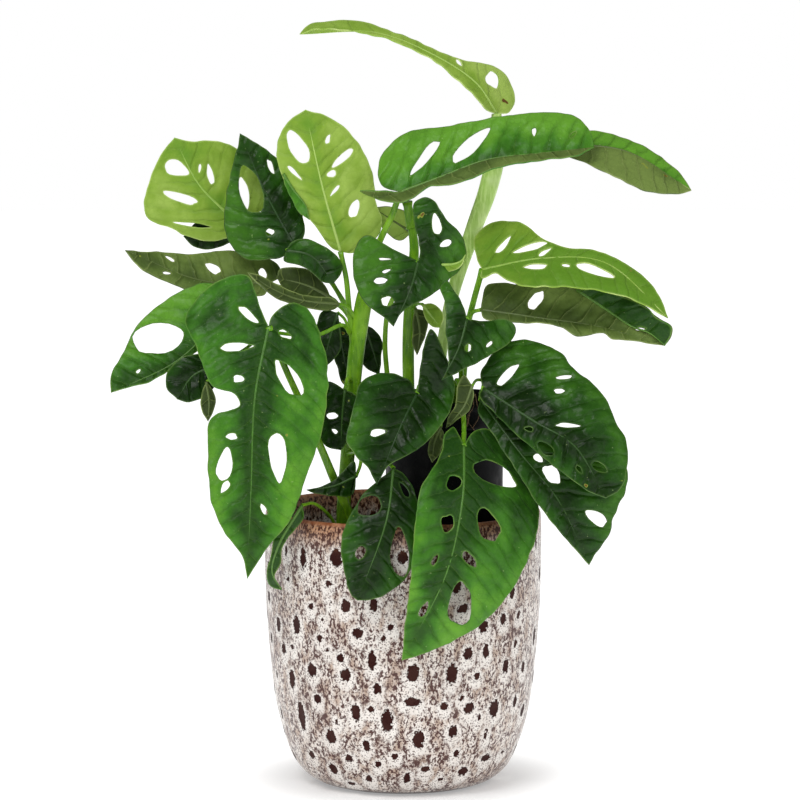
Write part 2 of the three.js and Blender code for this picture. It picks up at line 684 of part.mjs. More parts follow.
// Stems: each plant's main stem with its petioles, as [radius, route] rods joined into one solid.
// A route that starts in mix or soil goes `rooted` deep, and the mix has a plain hole for it.
const STEMS = [
  {
    name: 'stem_left', bed: 'mix',
    rods: [
      [4.6, [[-44, 150, -6], [-43, 200, -8], [-40, 250, -8], [-37, 300, -8], [-33, 332, -8],
        [-29, 350, -7]]],
      [2.6, [[-30, 346, -7], [-24, 368, -3], [-17, 392, -2], [-8, 411, -3], [-4, 422, -5],
        [-1, 429, -9]]],
      [2.2, [[-36, 318, -8], [-39, 345, -7], [-41, 366, -7], 'leaf_upright']],
      [1.7, [[-34, 332, -6], [-60, 374, 12], [-95, 396, 22], 'leaf_left_high']],
      [1.7, [[-34, 335, -6], [-54, 366, 4], [-70, 384, 4], 'leaf_left_dark']],
      [1.2, [[-70, 384, 4], [-77, 390, -6], 'leaf_left_lobe']],
      [1.2, [[-95, 396, 22], [-108, 401, 29], 'leaf_left_under']],
      [1.7, [[-34, 330, -6], [-46, 346, 6], [-66, 352, 12], 'leaf_left_olive']],
      [1.5, [[-38, 326, -8], [-44, 332, -20], [-62, 325, -29], [-100, 328, -32], 'leaf_far_left']],
      [1.3, [[-100, 328, -32], [-112, 316, -38], 'leaf_crumpled']],
      [1, [[-112, 316, -38], [-124, 302, -54], 'leaf_crumpled_tip']],
      [1.5, [[-34, 336, -8], [-40, 345, -12], 'leaf_rolled_edge']],
      [1.2, [[-46, 346, 6], [-49, 350, 0], 'leaf_left_inner']],
      [1.2, [[-37, 322, -8], [-42, 336, -12], 'leaf_shade_left']],
      [1.2, [[-34, 330, -6], [-31, 333, 1], 'leaf_shade_middle']],
      [1.6, [[-37, 290, -8], [-40, 293, -24], 'leaf_centre_low']],
      [1.6, [[-41, 238, -8], [-30, 240, -36], [-16, 238, -64], 'leaf_front']],
      [1.4, [[-30, 240, -36], [-31, 230, -50], 'leaf_over_back_rim']],
    ],
  },
  {
    name: 'stem_middle', bed: 'soil',
    rods: [
      [3.2, [[6, 252, 5], [4, 290, 3], [4, 330, 1], [6, 362, 1], [8, 388, 2], [6, 404, 3], [5, 413, 3]]],
      [4, [[6.4, 402, 3], [5, 408, 3], [3, 421, 1]]],
      [1.2, [[7, 390, 3], [7.2, 396, 10], 'leaf_behind_heart']],
      [1.2, [[4, 336, 1], [7, 343, -2], 'leaf_small_olive']],
      [1.2, [[5, 342, 1], [10, 347, -6], 'leaf_small_bright']],
    ],
  },
  {
    name: 'stem_heart', bed: 'soil',
    rods: [
      [2, [[-9, 252, 10], [-11, 290, 4], [-13, 320, -2], [-10, 345, -10], [2, 366, -18], 'leaf_heart']],
    ],
  },
  {
    name: 'stem_right', bed: 'soil',
    rods: [
      [4.2, [[22, 252, 12], [26, 300, 12], [32, 338, 10], [39, 366, 10], [51, 402, 16], [61, 430, 20],
        [66.6, 456, 24], 'leaf_crest']],
      [1.8, [[65, 446, 22], [82, 461, 19], [98, 464, 14], 'leaf_upper_right']],
    ],
  },
  {
    name: 'stem_side', bed: 'soil',
    rods: [
      [2.6, [[40, 252, 6], [44, 300, 3], [46, 328, -2], [51, 350, -9], 'leaf_right']],
      [1.6, [[47, 334, -3], [50, 341, -8], 'leaf_right_olive']],
      [1.8, [[42, 284, 4], [42, 316, -16], [45, 337, -40], 'leaf_centre_right']],
    ],
  },
  {
    name: 'stem_centre', bed: 'soil',
    rods: [
      [2, [[12, 252, 0], [12, 276, -5], [12, 287, -20], [11, 285, -42], 'leaf_centre']],
    ],
  },
  {
    name: 'stem_front', bed: 'soil',
    rods: [
      [2, [[38, 252, -12], [38, 278, -20], [39, 292, -32], [42, 284, -42], [44, 260, -50],
        [44, 250, -60], 'leaf_big_front']],
    ],
  },
  {
    name: 'stem_right_big', bed: 'soil',
    rods: [
      [2, [[60, 252, 4], [59, 284, -8], [58, 292, -26], [58.4, 290, -42], 'leaf_right_big']],
      [1.8, [[60, 270, 0], [58, 284, -20], [56.4, 283, -38], 'leaf_right_low']],
      [1.2, [[58, 292, -24], [53, 292, -42], 'leaf_right_lobe']],
    ],
  },
  {
    name: 'stem_pot_back', bed: 'soil',
    rods: [
      [1.4, [[26, 252, -14], [28, 282, -20], [30, 290, -32], [29, 280, -44], 'leaf_pot_back']],
    ],
  },
  {
    name: 'stem_big_left', bed: 'mix',
    rods: [
      [2.6, [[-27, 150, -34], [-31, 172, -38], [-38, 192, -44], [-50, 220, -52], [-59, 242, -58],
        [-73, 274, -60], [-86, 303, -59], 'leaf_big_left']],
    ],
  },
  {
    name: 'stem_rim', bed: 'mix',
    rods: [
      [1.3, [[-45, 150, -34], [-46, 172, -42], [-51, 190, -52], [-64, 202, -66], 'leaf_over_rim']],
    ],
  },
];

// ---- build ----------------------------------------------------------------------------------
const inner = POT.radius - POT.wall;
const cover = turned([
  [0, 0], [POT.foot, 0], [67, 4], [77, 13], [86, 33], [93, 62], [97.5, 104], [POT.radius, 150],
    [POT.radius, 192],
  [99, 197.5], [97, POT.height], [95, 198], [inner, 192], [inner, 148], [91.5, 104], [87, 64], [80, 38],
  [70, 18], [58, POT.floor], [0, POT.floor],
], 48);
addMesh('cover_pot', cover, GLAZE);

const mixBody = turned([
  [0, POT.floor + CLEARANCE], [57.5, POT.floor + CLEARANCE], [69.5, 18.5], [79.4, 38.3], [86.4, 64.2],
    [90.9, 104.2],
  [93.5, 148], [93.6, MIX_TOP - 1], [0, MIX_TOP],
], 40);

const nurseryOuter = (z) => NURSERY.base + (NURSERY.rim - 3 - NURSERY.base) * (z / NURSERY.height);
const nursery = turned([
  [0, 0], [NURSERY.base, 0], [nurseryOuter(NURSERY.height - 12), NURSERY.height - 12],
  [NURSERY.rim, NURSERY.height - 12], [NURSERY.rim, NURSERY.height],
  [NURSERY.rim - NURSERY.wall, NURSERY.height],
    [nurseryOuter(NURSERY.height - 12) - NURSERY.wall, NURSERY.height - 12],
  [NURSERY.base - NURSERY.wall, 2], [0, 2],
], 40);
nursery.translate(NURSERY.x, NURSERY.y, NURSERY.foot);
addMesh('nursery_pot', nursery, BLACK_PLASTIC);

const soilHeight = SOIL_TOP - NURSERY.foot;
const soilEdge = nurseryOuter(soilHeight) - NURSERY.wall - CLEARANCE;
const soilBody = turned([
  [0, 2.3], [NURSERY.base - NURSERY.wall - CLEARANCE, 2.3], [soilEdge, soilHeight - 1.5], [0, soilHeight],
], 36);
soilBody.translate(NURSERY.x, NURSERY.y, NURSERY.foot);

const drilled = (body, bed) => {
  let solid = toManifold(body);
  STEMS.filter((stem) => stem.bed === bed).forEach((stem) => {
    const [radius, route] = stem.rods[0];
    solid = solid.subtract(toManifold(rod(route, radius + CLEARANCE)));
  });
  return fromManifold(solid);
};
addMesh('potting_mix', drilled(mixBody, 'mix'), SOIL);
addMesh('nursery_soil', drilled(soilBody, 'soil'), SOIL);

// Each petiole runs up to its blade and is cut back to leave the clearance.
const sockets = LEAVES.map((blade) => {
  const thick = BLADE + 2 * CLEARANCE;
  return toManifold(bladeGeometry(blade, thick)).add(toManifold(bladeGeometry(blade, thick, CLEARANCE)));
});
STEMS.forEach((stem) => {
  const joined = stem.rods
    .map(([radius, route], i) => toManifold(rod(route, radius, i === 0 ? 4 : 3)))
    .reduce((whole, next) => whole.add(next));
  const [largest] = sockets
    .reduce((whole, socket) => whole.subtract(socket), joined)
    .simplify(SLIVER)
    .decompose()
    .sort((a, b) => b.volume() - a.volume());
  addMesh(stem.name, fromManifold(largest), STEM);
});

LEAVES.forEach((blade) => addMesh(blade.name, bladeGeometry(blade, BLADE), TONES[blade.tone]));

export default group;
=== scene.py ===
"""A Swiss cheese vine (Monstera adansonii) in a nursery pot, standing in a speckled glazed pot.

Lengths in the tables are millimetres. Foliage is laid out in front elevation, on the plane through the
pot's axis: x across, z up, and a depth along the line of sight that is negative towards the viewer.
"""

import logging
import math
import random
from dataclasses import dataclass
from enum import Enum
from typing import Any, Sequence

import bmesh
import bpy
from mathutils import Matrix, Vector, kdtree, noise
from mathutils.geometry import delaunay_2d_cdt

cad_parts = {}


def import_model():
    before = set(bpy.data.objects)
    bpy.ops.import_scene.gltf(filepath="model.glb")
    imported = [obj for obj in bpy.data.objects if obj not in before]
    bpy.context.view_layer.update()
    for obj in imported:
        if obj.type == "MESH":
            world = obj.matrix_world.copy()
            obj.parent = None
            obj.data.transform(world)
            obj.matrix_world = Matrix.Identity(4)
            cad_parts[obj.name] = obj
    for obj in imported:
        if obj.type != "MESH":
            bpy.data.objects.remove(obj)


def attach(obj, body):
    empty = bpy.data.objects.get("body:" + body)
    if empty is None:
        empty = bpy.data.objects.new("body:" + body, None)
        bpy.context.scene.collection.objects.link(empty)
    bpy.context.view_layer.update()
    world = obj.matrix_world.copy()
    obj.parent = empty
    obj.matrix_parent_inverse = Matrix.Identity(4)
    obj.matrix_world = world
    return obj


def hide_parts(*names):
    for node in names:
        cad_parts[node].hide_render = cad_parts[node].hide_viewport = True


LOG = logging.getLogger("vine")
MM = 0.001
Socket = bpy.types.NodeSocket


# ---- sizes and finishes -----------------------------------------------------------------------
@dataclass(frozen=True)
class Sight:
    """The eye that the foliage is laid out for, and the camera that stands there."""

    x: float = -2.2
    distance: float = 3000.0
    height: float = 621.0
    dip: float = 6.53
    lens: float = 188.1

    def place(self, x: float, z: float, depth: float) -> Vector:
        """Carries a point of the elevation along its line of sight.

        Args:
            x: Place across, on the plane through the pot's axis.
            z: Height on that plane.
            depth: Distance behind the plane, negative towards the viewer.

        Returns:
            The point in metres, in the shared frame.
        """
        scale = (self.distance + depth) / self.distance
        return Vector((
            (self.x + (x - self.x) * scale) * MM,
            depth * MM,
            (self.height + (z - self.height) * scale) * MM,
        ))


@dataclass(frozen=True)
class PotSizes:
    """The glazed pot: its wall as a closed profile of (radius, height), and its clay spots.

    A halo of white glaze runs round each spot and below it. Outside the front arc, in degrees to each side,
    the spots are scattered.
    """

    wall: tuple[tuple[float, float], ...] = (
        (0, 0), (53, 0), (56, 0), (58.5, 0.5), (67, 4), (77, 13), (86, 33), (93, 62), (97.5, 104),
        (100, 150), (100, 192), (99, 197.5), (97, 200), (95, 198), (94, 192), (94, 148), (91.5, 104),
        (87, 64), (80, 38), (70, 18), (58, 9), (0, 9),
    )
    around: int = 224
    step: float = 2.2
    foot: float = 3.0
    ripple: float = 0.35
    spot_depth: float = 0.5
    spot_reach: float = 40.0
    halo_side: float = 3.2
    halo_rise: float = 4.5
    halo_drop: float = 2.5
    front_arc: float = 72.0
    spot_gap: float = 13.02
    spot_heights: tuple[float, float] = (8.0, 186.0)
    spot_tries: int = 4000
    spot_seed: int = 11


@dataclass(frozen=True)
class NurserySizes:
    """The thin black pot that holds the roots."""

    x: float = 30.0
    y: float = 12.0
    foot: float = 165.6
    height: float = 114.0
    base: float = 41.0
    rim: float = 49.0
    wall: float = 1.6
    around: int = 96
    step: float = 3.0


@dataclass(frozen=True)
class Bed:
    """A bed of potting mix, and the crumbs that lie on it.

    The floor is its profile below the top, from the axis outwards. Rough is how far its lumps stand
    proud. The crumbs lie within their own reach, at the height of their lift over the top.
    """

    radius: float
    top: float
    rough: float
    floor: tuple[tuple[float, float], ...]
    reach: float
    lift: float
    crumbs: int
    seed: int
    root_every: int = 7
    x: float = 0.0
    y: float = 0.0


@dataclass(frozen=True)
class BladeSizes:
    """How finely a blade is made and how its surface is worked."""

    thickness: float = 0.8
    step: float = 2.3
    edge_step: float = 2.2
    spine_step: float = 2.4
    stations: int = 24
    hole_sides: int = 22
    margin: float = 0.5
    puff: float = 2.1
    waver: float = 0.9
    egg: float = 0.28
    uneven: float = 0.22
    vein_gap: float = 12.0
    vein_close: float = 5.0
    vein_slope: float = 0.55
    vein_bend: float = 0.0035
    ripple: float = 2.2
    rib_radius: float = 1.25
    rib_taper: float = 0.95
    rib_sides: int = 8
    rib_step: float = 3.0


@dataclass(frozen=True)
class StalkSizes:
    """How finely a stalk is made, its channel, and how far and how near each end it swells."""

    step: float = 4.0
    sides: int = 14
    groove: float = 0.3
    base_swell: tuple[float, float] = (0.22, 0.07)
    tip_swell: tuple[float, float] = (0.18, 0.05)


class Tone(Enum):
    """Which way a blade is seen, and how old it is."""

    YOUNG = "young"
    MID = "mid"
    DARK = "dark"
    OLIVE = "olive"


class Skin(Enum):
    """What covers a stem or a root."""

    PALE = "pale"
    FRESH = "fresh"
    BARK = "bark"


@dataclass(frozen=True)
class Half:
    """One side of a blade: its cut edge from base to tip, and how it leaves the midrib."""

    lean: float
    edge: tuple[tuple[float, float], ...]
    holes: tuple[tuple[float, float, float, float, float], ...] = ()
    cup: float = 0.0
    tone: Tone | None = None


@dataclass(frozen=True)
class Leaf:
    """A blade: its midrib in (x, z, depth) from base to tip, and its two halves.

    Its shade at the base and the tip is lighter above 0 and darker below: partly the blade's own lightness,
    and partly painted shade where the blade lies in shadow and painted light where it is lit. The rib is
    how pale its midrib is.
    """

    name: str
    tone: Tone
    midrib: tuple[tuple[float, float, float], ...]
    left: Half
    right: Half | None = None
    shade: tuple[float, float] = (0.0, 0.0)
    rib: float = 0.25


@dataclass(frozen=True)
class Rod:
    """A petiole or stem: its radius, its route, and its girth along it as shares of the radius.

    A leaf's name as the last stop of the route is that blade's base.
    """

    radius: float
    route: tuple[Any, ...]
    girth: tuple[float, ...] = (1.0, 0.9, 0.8)


@dataclass(frozen=True)
class Stem:
    """The rods that grow as one piece."""

    name: str
    rods: tuple[Rod, ...]
    skin: Skin = Skin.FRESH


# ---- measurements -----------------------------------------------------------------------------
LEAVES: tuple[Leaf, ...] = (
    Leaf(
        "leaf_crest", Tone.YOUNG,
        ((67, 484, 28), (52, 506, 18), (20, 527, 8), (-20, 542, -2), (-74, 541, -12)),
        Half(-1.2, ((60, 487), (49, 499), (38, 509), (20, 523), (0, 533), (-20, 540), (-60, 545))),
        Half(
            1.2,
            (
                (76, 485), (80, 495), (76, 507), (66, 517), (40, 523), (20, 531), (-5, 542), (-38, 551),
                (-68, 547),
            ),
            ((64, 508, 6, 4.5, 120), (40, 520.5, 3, 1.2, -50)),
        ),
        rib=0.4, shade=(0.6, 0.3),
    ),
    Leaf(
        "leaf_upper", Tone.MID,
        ((-2, 428, -12), (25, 438, -14), (60, 451, -16), (100, 456, -16), (137, 460, -14)),
        Half(
            -1.2,
            (
                (-14, 428.5), (-31, 429), (-16, 422), (2, 421), (20, 432), (36, 433), (55, 440),
                (75, 447), (104, 451), (125, 454),
            ),
            tone=Tone.OLIVE,
        ),
        Half(
            0.7,
            (
                (-14, 431.5), (-18, 442), (-16, 453), (-8, 463), (4, 471), (30, 475), (70, 482),
                (105, 485), (125, 481), (134, 471),
            ),
            (
                (15.5, 452.5, 15, 3.6, 51), (49, 461.5, 18, 5, 43), (94, 471, 3, 1.5, 90),
                (122, 469, 3, 1.3, 45),
            ),
        ),
        rib=0.3, shade=(0.7, 0.7),
    ),
    Leaf(
        "leaf_upper_right", Tone.OLIVE,
        ((115, 462, 12), (160, 457, 4), (207, 429, -6)),
        Half(-1.2, ((112, 456), (120, 453), (150, 440), (168, 431), (182, 427), (200, 427))),
        Half(1.2, ((116, 470), (134, 472), (160, 466), (182, 455), (200, 440)), tone=Tone.MID),
        shade=(1.9, 1.6),
    ),
    Leaf(
        "leaf_upright", Tone.YOUNG,
        ((-45, 385, -8), (-58, 432, 0), (-70, 487, 4)),
        Half(
            0.15,
            ((-52, 388), (-62, 402), (-73, 415), (-84, 432), (-90, 450), (-90, 464), (-83, 478)),
            ((-76, 461, 13, 6, 118), (-78, 442, 7, 1.4, 135)),
        ),
        Half(
            0.25,
            (
                (-37, 384), (-26, 389), (-18, 397), (-15, 406), (-19, 419), (-21, 432), (-23, 444),
                (-31, 461), (-48, 479),
            ),
            (
                (-54, 466, 3.5, 1.5, 70), (-44, 452, 10, 2.6, 42), (-51.5, 441, 3.5, 2.2, 20),
                (-49, 429, 5, 1.2, 50), (-35, 416, 7, 3.4, 70),
            ),
        ),
        shade=(0.3, 0), rib=0.5,
    ),
    Leaf(
        "leaf_left_high", Tone.YOUNG,
        ((-124, 410, 26), (-147, 434, 30), (-164, 467, 26)),
        Half(
            0.15,
            (
                (-122, 397), (-134, 393), (-150, 394), (-165, 401), (-183, 409), (-186, 419),
                (-181, 439), (-173, 456),
            ),
            ((-162, 445, 9, 5.5, -20), (-160, 424, 13, 3.2, -18), (-152, 404.5, 13, 1.4, -7)),
        ),
        Half(
            0.15,
            ((-110, 412), (-97, 418), (-97, 436), (-108, 447), (-119, 459), (-137, 465), (-150, 464)),
            ((-115, 427, 12, 4.5, 95), (-138.5, 441, 7.5, 2.2, 102), (-146, 445, 3, 1, 85)),
        ),
        shade=(0.1, -0.2), rib=0.2,
    ),
    Leaf(
        "leaf_left_dark", Tone.DARK,
        ((-79, 391, 0), (-97, 424, 10), (-117, 470, 14)),
        Half(
            -0.08,
            ((-86, 382), (-100, 379), (-113, 380), (-122, 387), (-128, 402), (-127, 425), (-120, 456)),
            ((-110, 430, 17, 8, 105), (-95.5, 399, 3, 2.4, 0)),
        ),
        Half(
            0.4,
            ((-72, 394), (-72, 408), (-80, 430), (-88, 449), (-102, 461)),
            ((-95, 446, 5.5, 1.8, 110),),
        ),
        rib=0, shade=(0.3, 0.6),
    ),
    Leaf(
        "leaf_left_lobe", Tone.DARK,
        ((-84, 386, -11), (-66, 382, -14), (-50, 362, -14)),
        Half(0.15, ((-80, 392), (-70, 394), (-56, 388), (-46, 380), (-44, 371))),
        Half(0.15, ((-86, 379), (-74, 375), (-64, 369), (-57, 363))),
        shade=(0.8, 0.8), rib=0.1,
    ),
    Leaf(
        "leaf_left_under", Tone.DARK,
        ((-120, 400, 37), (-138, 397, 37), (-158, 396, 36)),
        Half(0.1, ((-128, 410), (-148, 407))),
        Half(0.1, ((-124, 392), (-140, 387), (-151, 389))),
    ),
    Leaf(
        "leaf_left_olive", Tone.OLIVE,
        ((-96, 362, 6), (-145, 364, 0), (-200, 386, -10)),
        Half(
            0.8,
            ((-88, 368), (-93, 378), (-110, 383), (-124, 386), (-150, 383), (-180, 385)),
            ((-137, 373, 6, 3, -35), (-101, 369, 4, 2.6, 110), (-168, 380, 4, 1.2, -30)),
        ),
        Half(
            -0.8,
            ((-100, 354), (-130, 353), (-157, 358), (-171, 363), (-190, 374)),
            ((-170, 369.5, 3, 1, -5),),
        ),
        shade=(0.7, 0.7),
    ),
    Leaf(
        "leaf_far_left", Tone.MID,
        ((-130, 338, -30), (-163, 306, -38), (-211, 283, -50)),
        Half(
            0.4,
            ((-126, 350), (-138, 362), (-157, 358), (-180, 343), (-193, 330), (-202, 312), (-211, 295)),
            ((-176, 322, 19, 11, 8), (-191, 298.5, 2, 1, 40)),
        ),
        Half(-0.3, ((-134, 322), (-150, 312), (-168, 300), (-182, 291), (-200, 286))),
        rib=0.2, shade=(0.6, 0.2),
    ),
    Leaf(
        "leaf_big_left", Tone.MID,
        ((-97, 331, -62), (-107, 280, -80), (-110, 215, -94), (-113, 147, -98)),
        Half(
            -0.1,
            (
                (-103, 344), (-113, 368), (-135, 363), (-150, 349), (-157, 335), (-150, 318),
                (-144, 301), (-137, 287), (-124, 283), (-118, 274), (-139, 264), (-141, 240),
                (-139, 205), (-130, 182), (-117, 164),
            ),
            (
                (-120, 316, 12, 3, 4), (-111, 339, 9, 2.6, -40), (-118.5, 293, 4, 2.8, 0),
                (-124, 251, 4, 2.4, 0), (-129, 231, 12, 5.5, 80), (-129, 214, 5, 2.4, 55),
            ),
            cup=0.2,
        ),
        Half(
            0.08,
            (
                (-95, 338), (-86, 346), (-77, 348), (-68, 343), (-61, 328), (-55, 305), (-55, 278),
                (-60, 250), (-70, 222), (-82, 190), (-100, 168),
            ),
            (
                (-85, 325, 5, 2.4, -30), (-83, 294, 15, 6.5, -55), (-90.5, 236, 19, 6.5, 93),
                (-101, 198, 4.5, 1.8, -62),
            ),
        ),
        rib=0.12, shade=(-0.5, 0.45),
    ),
    Leaf(
        "leaf_heart", Tone.DARK,
        ((11, 378, -28), (5, 357, -33), (-7, 331, -42)),
        Half(
            0.05,
            (
                (3, 382), (-14, 391), (-25, 397), (-34, 389), (-36, 374), (-33, 358), (-26, 347),
                (-16, 339),
            ),
            (
                (-13, 379.6, 4.5, 0.8, 0), (-12, 371, 3, 1.1, 20), (-16, 364, 5, 2.3, 4),
                (-11, 349, 4.5, 3.6, 0),
            ),
        ),
        Half(
            -0.12,
            (
                (12, 386), (9, 402), (8, 420), (14, 424), (23, 421), (31, 409), (41, 398), (45, 388),
                (43, 376), (32, 364), (20, 353), (8, 347), (-1, 341),
            ),
            ((24, 405, 7.5, 3.2, 98), (30.5, 391, 4.5, 2.4, 25)),
            cup=0.9,
        ),
        rib=0.1, shade=(0.4, 0.6),
    ),
    Leaf(
        "leaf_behind_heart", Tone.OLIVE,
        ((6, 399, 16), (-8, 408, 18), (-22, 417, 18)),
        Half(0.2, ((5, 411), (-6, 417)), tone=Tone.YOUNG),
        Half(0.2, ((-1, 393), (-15, 402)), tone=Tone.YOUNG),
        shade=(2.2, 2.2),
    ),
    Leaf(
        "leaf_right", Tone.YOUNG,
        ((57, 372, -20), (100, 380, -30), (145, 377, -32), (191, 337, -34)),
        Half(
            0.9,
            (
                (53, 380), (52, 396), (66, 406), (86, 405), (100, 395), (118, 388), (138, 386),
                (155, 379), (172, 368), (184, 354),
            ),
            ((72.5, 390, 7.5, 2, 50), (91, 387.8, 12, 2.4, 17), (102, 384.5, 5, 1.5, 32)),
        ),
        Half(
            -1,
            (
                (56, 366), (66, 369), (76, 364), (88, 360), (110, 359.5), (130, 358), (150, 355),
                (170, 348),
            ),
            ((95, 374, 8, 2, 2), (117, 375, 3, 1.2, -10), (139, 371, 14, 3.2, -17)),
        ),
        shade=(-0.3, -2.2), rib=0.15,
    ),
    Leaf(
        "leaf_right_olive", Tone.OLIVE,
        ((56, 343, -15), (100, 337, -25), (140, 331, -28), (189, 317, -35)),
        Half(
            0.6,
            (
                (57, 352), (61, 361), (90, 361), (130, 359), (155, 354), (174, 346), (184, 337),
                (194, 331), (194, 325),
            ),
            ((96, 350, 8, 4, 55), (185, 329.5, 4, 2, 10), (171, 329, 3.5, 1, 0)),
        ),
        Half(-0.8, ((58, 337), (78, 334), (113, 331), (124, 324), (145, 326), (150, 322), (162, 321))),
        rib=0.2, shade=(0.6, 1),
    ),
    Leaf(
        "leaf_centre_right", Tone.DARK,
        ((46, 336, -52), (40, 315, -64), (28, 292, -76)),
        Half(0.05, ((44, 344), (37, 357), (31, 364), (27, 360), (30, 348), (31, 328), (33, 306))),
        Half(
            0.2,
            ((60, 335), (75, 336), (81, 330), (79, 322), (66, 312), (48, 302), (36, 296)),
            ((62, 318, 3, 1.2, 45), (47, 315.5, 3, 2, 70)),
        ),
        shade=(0.1, 0.4), rib=0.15,
    ),
    Leaf(
        "leaf_centre", Tone.DARK,
        ((10, 282, -58), (-1, 260, -75), (-19, 216, -98)),
        Half(
            -0.05,
            (
                (4, 292), (-8, 297), (-21, 296), (-31, 289), (-35, 275), (-39, 260), (-41, 248),
                (-33, 236), (-24, 225),
            ),
            ((-18, 254, 6, 2.6, 12),),
        ),
        Half(
            0.02,
            (
                (12, 298), (15, 316), (20, 329), (26, 322), (33, 303), (37, 288), (35, 272), (26, 257),
                (15, 245), (4, 238), (-10, 230),
            ),
        ),
        shade=(-0.2, 0.1), rib=0,
    ),
    Leaf(
        "leaf_centre_low", Tone.DARK,
        ((-42, 285, -40), (-44, 265, -45), (-45, 241, -50)),
        Half(
            0.1,
            ((-54, 291), (-60, 276), (-61, 256), (-56, 244)),
            ((-51, 266, 4, 2.4, 0), (-49.5, 255, 2.4, 1.4, -40)),
        ),
        Half(0.1, ((-36, 282), (-29, 272), (-36, 258), (-41, 246))),
    ),
    Leaf(
        "leaf_front", Tone.DARK,
        ((-7, 228, -84), (-12, 190, -108), (-33, 131, -115)),
        Half(
            0.08,
            ((-14, 222), (-28, 210), (-37, 196), (-45, 174), (-42, 150), (-38, 136)),
            ((-25, 200, 9, 7, 30), (-31, 166, 5, 3.4, 60)),
        ),
        Half(
            0.12,
            ((2, 222), (9, 208), (11, 185), (8, 160), (3, 149), (-6, 140), (-22, 132)),
            ((-2.5, 167, 18, 6.5, 92), (1, 212, 6, 2, -62)),
        ),
        shade=(-0.5, 0.2), rib=0.35,
    ),
    Leaf(
        "leaf_big_front", Tone.MID,
        ((44, 244, -74), (43, 205, -103), (31, 150, -119), (-1, 87, -118)),
        Half(
            -0.15,
            (
                (41, 251), (36, 258), (31, 254), (28, 241), (22, 228), (13, 214), (9, 190), (6, 155),
                (2, 118),
            ),
            (
                (36.5, 217, 6, 5, 50), (32, 187, 6.5, 4.4, 80), (23, 161, 4.5, 1.8, 62),
                (15, 124.5, 6, 2.6, 62),
            ),
        ),
        Half(
            0.4,
            (
                (48, 251), (56, 257), (68, 253), (82, 236), (93, 216), (98, 200), (97, 180), (92, 165),
                (80, 141), (64, 121), (45, 106), (20, 94),
            ),
            (
                (67, 223, 17, 7.5, -26), (61, 187, 13, 7, -66), (48, 161, 7, 3.4, -52),
                (41.5, 130, 16.5, 8.5, 84),
            ),
        ),
        rib=0.15, shade=(-1.1, 0.8),
    ),
    Leaf(
        "leaf_right_big", Tone.DARK,
        ((58, 286, -58), (95, 262, -80), (124, 244, -90), (147, 206, -96)),
        Half(
            -0.2,
            ((55, 281), (62, 272), (80, 254), (100, 237), (120, 221), (134, 211)),
            ((91, 256.5, 3, 1.5, -10), (103, 242.5, 7, 3.6, -38), (127.5, 227, 3.4, 1.3, -55)),
        ),
        Half(
            0.45,
            (
                (56, 296), (62, 308), (75, 319), (88, 321), (102, 318), (115, 311), (123, 300),
                (134, 292), (147, 278), (153, 262), (161, 248), (162, 232), (158, 213),
            ),
            (
                (76, 296, 11, 3.2, 46), (116, 294, 6, 1.4, 6), (113, 284, 4, 1.8, 0),
                (120, 259, 9, 1.6, -3), (142, 228.5, 6, 3, -28),
            ),
        ),
        rib=0.1, shade=(-0.1, 0.2),
    ),
    Leaf(
        "leaf_right_low", Tone.DARK,
        ((56, 278, -48), (84, 240, -75), (112, 205, -84), (135, 157, -80)),
        Half(-0.4, ((54, 270), (61, 258), (75, 237), (92, 210), (105, 192), (120, 174))),
        Half(
            0.3,
            (
                (66, 278), (95, 258), (125, 238), (150, 235), (162, 228), (161, 212), (153, 194),
                (149, 179), (140, 166),
            ),
            ((98, 235, 4, 2.4, -40), (108, 223, 8, 5, -50), (139.5, 192, 8.5, 4.4, -32)),
        ),
        rib=0.1, shade=(0.4, 0.4),
    ),
    Leaf(
        "leaf_right_lobe", Tone.OLIVE,
        ((50, 288, -60), (44, 273, -57), (31, 257, -52)),
        Half(0.1, ((44, 296), (40, 290), (38, 275), (32, 264))),
        Half(0.1, ((51, 279), (47, 269), (38, 262))),
    ),
    Leaf(
        "leaf_pot_back", Tone.OLIVE,
        ((27, 258, -56), (23, 247, -60), (21, 232, -62)),
        Half(0.1, ((21, 252), (18, 240))), Half(0.1, ((30, 252), (27, 240))),
    ),
    Leaf(
        "leaf_over_rim", Tone.MID,
        ((-73, 201, -80), (-90, 172, -74), (-95, 152, -68), (-88, 139, -62)),
        Half(0.2, ((-77, 195), (-92, 179), (-96, 164), (-99, 150), (-95, 141))),
        Half(0.2, ((-72, 192), (-80, 181), (-87, 171), (-89, 158), (-93, 149))),
        shade=(-0.7, -0.7),
    ),
    Leaf(
        "leaf_crumpled", Tone.DARK,
        ((-137, 302, -48), (-152, 295, -50), (-163, 278, -52)),
        Half(0.2, ((-146, 311), (-160, 308), (-170, 298), (-171, 287))),
        Half(-0.3, ((-135, 290), (-145, 279), (-156, 276))),
    ),
    Leaf(
        "leaf_crumpled_tip", Tone.OLIVE,
        ((-142, 291, -58), (-140, 276, -60), (-141, 262, -60)),
        Half(0.2, ((-145, 284), (-146, 272))), Half(0.2, ((-137, 284), (-136, 272))),
    ),
    Leaf(
        "leaf_rolled_edge", Tone.OLIVE,
        ((-46, 347, -14), (-74, 350, -20), (-94, 358, -24), (-112, 370, -28)),
        Half(0.5, ((-50, 351), (-72, 353.5), (-90, 361), (-104, 368))),
        Half(-0.5, ((-50, 343), (-74, 345), (-94, 353), (-106, 363))),
    ),
    Leaf(
        "leaf_left_inner", Tone.OLIVE,
        ((-52, 352, -4), (-70, 361, -2), (-91, 366, 0)),
        Half(0.3, ((-57, 362), (-66, 371), (-78, 374), (-89, 372))),
        Half(0.1, ((-65, 351), (-84, 356))),
    ),
    # A leaf painted near-black to stand for the deep shade inside the plant: painted shade.
    Leaf(
        "leaf_shade_left", Tone.DARK,
        ((-47, 341, -16), (-53, 322, -17), (-58, 300, -18)),
